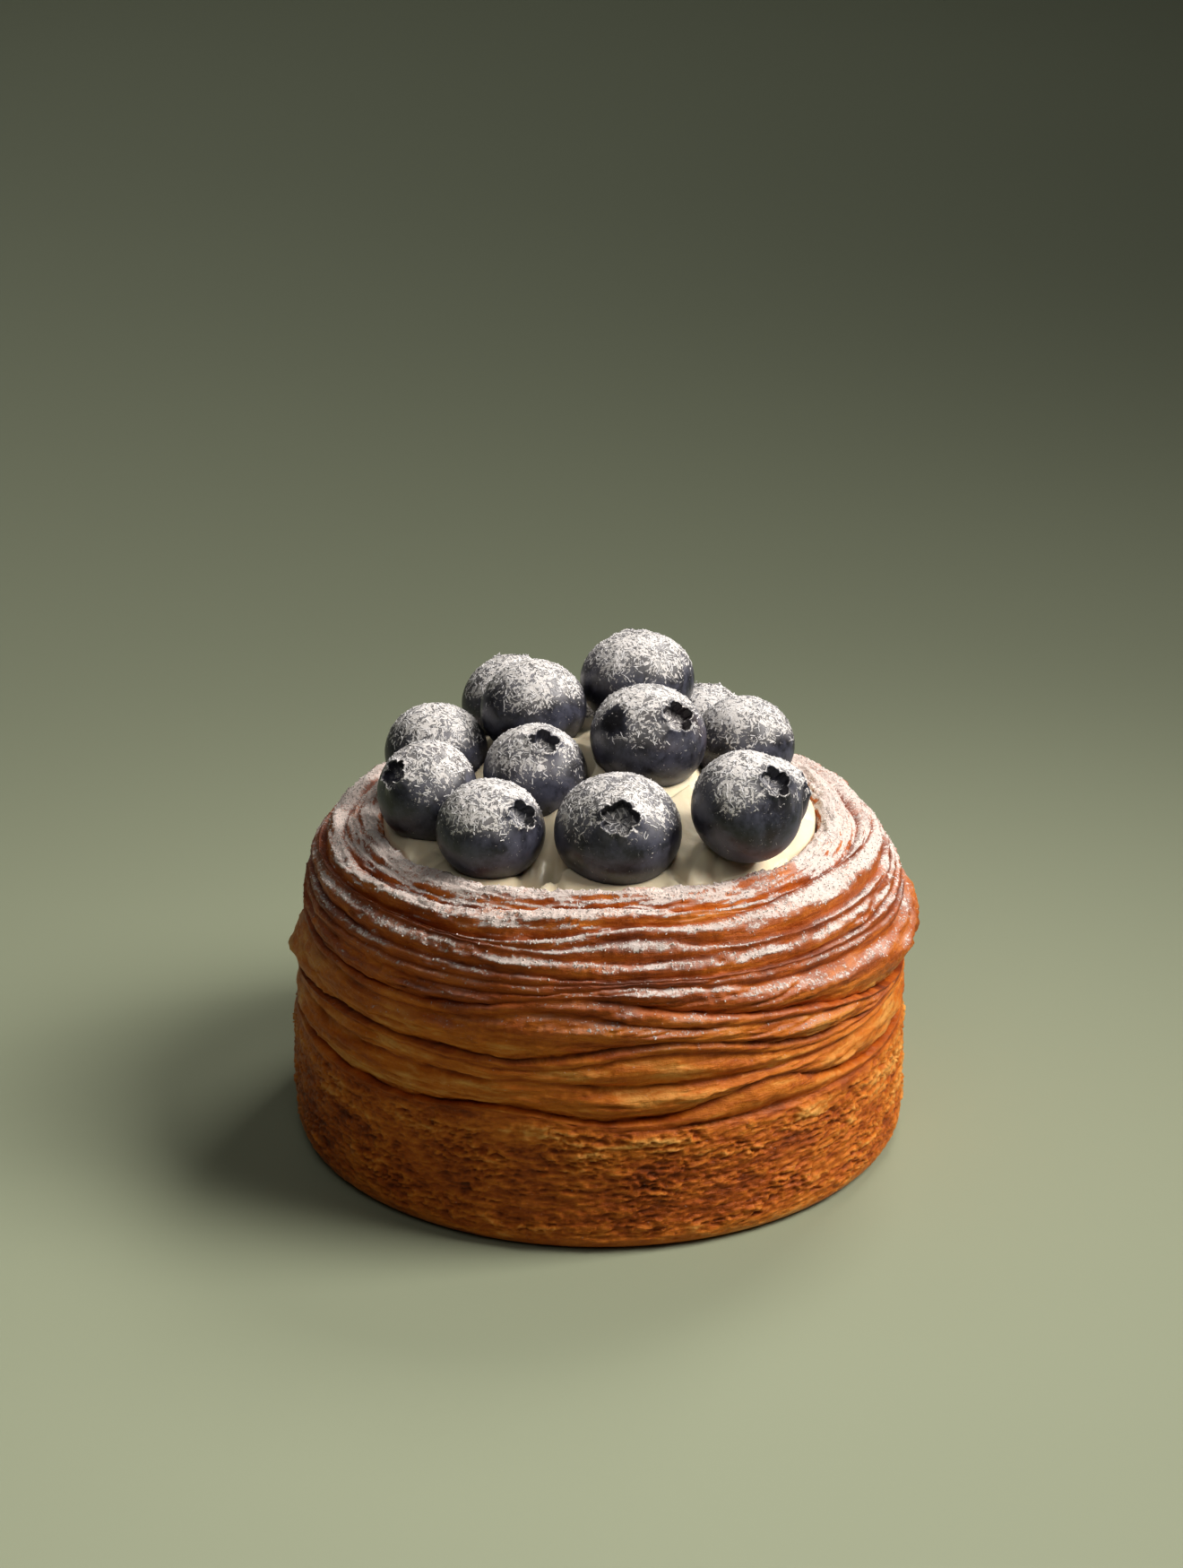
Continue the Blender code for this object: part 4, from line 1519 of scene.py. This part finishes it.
        # Where the berries press in, the cream later gets painted shade.
        pressed = smooth_step(open_height - height, 0.0, 1.5)
        points = np.stack([x, y, height], axis=-1)
        floor = points[0].copy()
        floor[:, 2] = self.outline.well_floor + self.floor_gap
        points = np.concatenate([floor[None], points]) * MM
        painted_shade = np.concatenate([pressed[:1], pressed])
        flat = points.reshape(-1, 3)
        faces = ring_faces(len(points), self.columns)
        numbers = np.arange(self.columns)
        count = len(flat)
        faces += fan_faces(numbers + (len(points) - 1) * self.columns, count, True)
        faces += fan_faces(numbers, count + 1, False)
        top = flat[-self.columns :].mean(axis=0)
        foot = np.array([0.0, 0.0, floor[0, 2] * MM])
        marks = {"painted_shade": np.append(painted_shade.reshape(-1), [painted_shade[-1, 0], 0.0])}
        cream = dressed_object("piped_cream", np.vstack([flat, top, foot]), faces, marks, material)
        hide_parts("cream")
        log.info("piped_cream: %d faces", len(faces))
        return cream


@dataclass(frozen=True)
class GrainKind:
    """One kind of sugar grain, with its sizes in millimetres.

    It has the proportions of a block, may be turned by up to three angles, and lies as dense as
    given where the sugar is full and nowhere under the least sugar.
    """

    name: str
    shape: tuple[float, float, float]
    smallest: float
    largest: float
    turn: tuple[float, float, float]
    per_square_metre: float
    least_sugar: float
    full_sugar: float
    seed: int


CRUST_GRAINS = GrainKind(
    "sugar_grains", (1.0, 0.6, 0.4), 0.14, 0.34, (math.pi, math.pi, math.pi), 3.6e6, 0.20, 0.70, 11
)
BERRY_GRAINS = GrainKind(
    "sugar_threads", (1.0, 0.15, 0.12), 0.32, 0.88, (0.25, 0.25, math.pi), 4.0e6, 0.05, 0.62, 12
)


@dataclass(frozen=True)
class SugarGrains:
    """Loose grains scattered over the sugared surfaces by a node tree."""

    kind: GrainKind

    def tree(self, material: bpy.types.Material) -> tuple[bpy.types.NodeTree, dict[str, str]]:
        """The scattering tree.

        Args:
            material: The grains' finish.

        Returns:
            The tree and the identifier of each of its named inputs.
        """
        tree = bpy.data.node_groups.new(self.kind.name, "GeometryNodeTree")
        face = tree.interface
        face.new_socket("Geometry", in_out="INPUT", socket_type="NodeSocketGeometry")
        keys = {}
        for name, sort in (
            ("Density", "NodeSocketFloat"),
            ("Least Sugar", "NodeSocketFloat"),
            ("Full Sugar", "NodeSocketFloat"),
            ("Shape", "NodeSocketVector"),
            ("Smallest", "NodeSocketFloat"),
            ("Largest", "NodeSocketFloat"),
            ("Turn", "NodeSocketVector"),
            ("Seed", "NodeSocketInt"),
        ):
            keys[name] = face.new_socket(name, in_out="INPUT", socket_type=sort).identifier
        face.new_socket("Geometry", in_out="OUTPUT", socket_type="NodeSocketGeometry")
        nodes, link = tree.nodes, tree.links.new
        given = nodes.new("NodeGroupInput").outputs
        result = nodes.new("NodeGroupOutput")
        mark = nodes.new("GeometryNodeInputNamedAttribute")
        mark.data_type = "FLOAT"
        mark.inputs["Name"].default_value = "sugar"
        curve = nodes.new("ShaderNodeMapRange")
        curve.interpolation_type = "SMOOTHSTEP"
        link(given["Least Sugar"], curve.inputs["From Min"])
        link(given["Full Sugar"], curve.inputs["From Max"])
        link(mark.outputs["Attribute"], curve.inputs["Value"])
        thick = nodes.new("ShaderNodeMath")
        thick.operation = "MULTIPLY"
        link(curve.outputs["Result"], thick.inputs[0])
        link(given["Density"], thick.inputs[1])
        scatter = nodes.new("GeometryNodeDistributePointsOnFaces")
        link(given["Geometry"], scatter.inputs["Mesh"])
        link(thick.outputs[0], scatter.inputs["Density"])
        link(given["Seed"], scatter.inputs["Seed"])
        grain = nodes.new("GeometryNodeMeshCube")
        link(given["Shape"], grain.inputs["Size"])
        size = nodes.new("FunctionNodeRandomValue")
        size.data_type = "FLOAT"
        limits = {entry.name: entry for entry in size.inputs if entry.type == "VALUE"}
        link(given["Smallest"], limits["Min"])
        link(given["Largest"], limits["Max"])
        link(given["Seed"], size.inputs["Seed"])
        place = nodes.new("GeometryNodeInstanceOnPoints")
        link(scatter.outputs["Points"], place.inputs["Points"])
        link(grain.outputs["Mesh"], place.inputs["Instance"])
        link(scatter.outputs["Rotation"], place.inputs["Rotation"])
        drawn = next(entry for entry in size.outputs if entry.type == "VALUE")
        link(drawn, place.inputs["Scale"])
        back = nodes.new("ShaderNodeVectorMath")
        back.operation = "SCALE"
        back.inputs["Scale"].default_value = -1.0
        link(given["Turn"], back.inputs[0])
        turn = nodes.new("FunctionNodeRandomValue")
        turn.data_type = "FLOAT_VECTOR"
        link(back.outputs[0], turn.inputs["Min"])
        link(given["Turn"], turn.inputs["Max"])
        link(given["Seed"], turn.inputs["Seed"])
        spin = nodes.new("GeometryNodeRotateInstances")
        spin.inputs["Local Space"].default_value = True
        link(place.outputs["Instances"], spin.inputs["Instances"])
        link(turn.outputs["Value"], spin.inputs["Rotation"])
        real = nodes.new("GeometryNodeRealizeInstances")
        link(spin.outputs["Instances"], real.inputs["Geometry"])
        paint = nodes.new("GeometryNodeSetMaterial")
        paint.inputs["Material"].default_value = material
        link(real.outputs["Geometry"], paint.inputs["Geometry"])
        link(paint.outputs["Geometry"], result.inputs["Geometry"])
        return tree, keys

    def build(
        self, grounds: list[bpy.types.Object], material: bpy.types.Material
    ) -> bpy.types.Object:
        """Scatter the grains over the sugared pieces as one plain mesh.

        Args:
            grounds: The pieces that carry sugar.
            material: The grains' finish.

        Returns:
            The grains' object.
        """
        tree, keys = self.tree(material)
        merged = self.ground(grounds)
        scatter = merged.modifiers.new(self.kind.name, "NODES")
        scatter.node_group = tree
        for name, value in (
            ("Density", self.kind.per_square_metre),
            ("Least Sugar", self.kind.least_sugar),
            ("Full Sugar", self.kind.full_sugar),
            ("Shape", self.kind.shape),
            ("Smallest", self.kind.smallest * MM),
            ("Largest", self.kind.largest * MM),
            ("Turn", self.kind.turn),
            ("Seed", self.kind.seed),
        ):
            scatter[keys[name]] = value
        bpy.context.view_layer.update()
        graph = bpy.context.evaluated_depsgraph_get()
        mesh = bpy.data.meshes.new_from_object(merged.evaluated_get(graph))
        bpy.data.objects.remove(merged)
        grains = bpy.data.objects.new(self.kind.name, mesh)
        bpy.context.scene.collection.objects.link(grains)
        log.info("%s: %d faces", self.kind.name, len(mesh.polygons))
        return grains

    def ground(self, grounds: list[bpy.types.Object]) -> bpy.types.Object:
        """One hidden mesh of every sugared face, which the grains are scattered over."""
        points, faces, sugar = [], [], []
        start = 0
        for ground in grounds:
            mesh = ground.data
            place = np.zeros(len(mesh.vertices) * 3, np.float32)
            mesh.vertices.foreach_get("co", place)
            fallen = np.zeros(len(mesh.vertices), np.float32)
            mesh.attributes["sugar"].data.foreach_get("value", fallen)
            points.append(place.reshape(-1, 3))
            sugar.append(fallen)
            for face in mesh.polygons:
                corners = list(face.vertices)
                if max(fallen[corner] for corner in corners) > self.kind.least_sugar:
                    faces.append([start + corner for corner in corners])
            start += len(mesh.vertices)
        mesh = bpy.data.meshes.new("sugar ground")
        mesh.from_pydata(np.concatenate(points).tolist(), [], faces)
        layer = mesh.attributes.new("sugar", "FLOAT", "POINT")
        layer.data.foreach_set("value", np.concatenate(sugar))
        ground_object = bpy.data.objects.new("sugar ground", mesh)
        bpy.context.scene.collection.objects.link(ground_object)
        return ground_object


@dataclass(frozen=True)
class Lamp:
    """A square soft light: its place, aim and side in millimetres, watts, colour and spread."""

    name: str
    place: tuple[float, float, float]
    aim: tuple[float, float, float]
    side: float
    power: float
    colour: tuple[float, float, float]
    spread: float = 180.0

    def hang(self) -> None:
        """Hang the light in the scene."""
        light = bpy.data.lights.new(self.name, "AREA")
        light.size = self.side * MM
        light.energy = self.power
        light.color = self.colour
        light.spread = math.radians(self.spread)
        lamp = bpy.data.objects.new(self.name, light)
        lamp.location = Vector(self.place) * MM
        way = Vector(self.place) - Vector(self.aim)
        lamp.rotation_euler = way.to_track_quat("Z", "Y").to_euler()
        bpy.context.scene.collection.objects.link(lamp)


WARM = (1.0, 0.95, 0.88)
COOL = (1.0, 0.97, 0.92)


@dataclass(frozen=True)
class Studio:
    """The board that the pastry stands on, the lights and the camera."""

    elevation: float = 23.0
    distance: float = 600.0
    target: tuple[float, float, float] = (-1.06, 0.0, 49.3)
    lens: float = 101.4
    floor_half: float = 3000.0
    sky: tuple[float, float, float] = (0.62, 0.66, 0.60)
    sky_strength: float = 0.04
    lamps: tuple[Lamp, ...] = (
        Lamp("key", (540.0, -115.0, 660.0), (-300.0, -250.0, 0.0), 460.0, 3.05, WARM, 76.0),
        Lamp("back", (120.0, 200.0, 300.0), (13.0, -30.0, 45.0), 120.0, 0.085, WARM, 60.0),
        Lamp("wash", (-260.0, 520.0, 600.0), (-110.0, 520.0, 0.0), 500.0, 0.34, COOL, 92.0),
        Lamp("fill", (-70.0, -410.0, 540.0), (0.0, 0.0, 30.0), 320.0, 0.43, COOL),
    )

    def build(self, material: bpy.types.Material) -> None:
        """Set up everything round the pastry.

        Args:
            material: The board's finish.
        """
        self.board(material)
        self.camera()
        for lamp in self.lamps:
            lamp.hang()
        world = bpy.data.worlds.new("studio")
        world.use_nodes = True
        sky = world.node_tree.nodes["Background"].inputs
        sky["Color"].default_value = (*self.sky, 1.0)
        sky["Strength"].default_value = self.sky_strength
        bpy.context.scene.world = world
        bpy.context.scene.view_settings.view_transform = "Standard"

    def board(self, material: bpy.types.Material) -> None:
        """The plain floor under the pastry, which reaches past the picture's edges."""
        half = self.floor_half * MM
        corners = ((-half, -half, 0.0), (half, -half, 0.0), (half, half, 0.0), (-half, half, 0.0))
        dressed_object("floor", np.array(corners), [[0, 1, 2, 3]], {}, material)

    def camera(self) -> None:
        """The camera, at the photograph's angle."""
        lift = math.radians(self.elevation)
        back = Vector((0.0, -math.cos(lift), math.sin(lift)))
        lens = bpy.data.cameras.new("camera")
        lens.lens = self.lens
        lens.sensor_width = 36.0
        lens.clip_start = 0.01
        camera = bpy.data.objects.new("camera", lens)
        camera.location = (Vector(self.target) + back * self.distance) * MM
        camera.rotation_euler = back.to_track_quat("Z", "Y").to_euler()
        bpy.context.scene.collection.objects.link(camera)
        bpy.context.scene.camera = camera


def main() -> None:
    """Build the pastry piece by piece and dress it."""
    logging.basicConfig(level=logging.INFO, format="%(message)s")
    nodes = frame["nodes"]
    heap = BerryHeap()
    fall = SugarFall([nodes[berry.name] for berry in heap.berries])
    outline = Outline()
    shell = PastryShell(outline, Folds())
    shell.build(fall, CrustFinish().material())
    heap.build(fall, BerryFinish().material())
    cream = Cream(outline, heap.berries).build(CreamFinish().material())
    grains = SugarGrains(CRUST_GRAINS).build(shell.made, CRUST_SUGAR.material())
    threads = SugarGrains(BERRY_GRAINS).build(heap.made, BERRY_SUGAR.material())
    for piece in (*shell.made, *heap.made, cream, grains, threads):
        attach(piece, "root")
    Studio().build(BOARD.material())


if __name__ == "__main__":
    main()
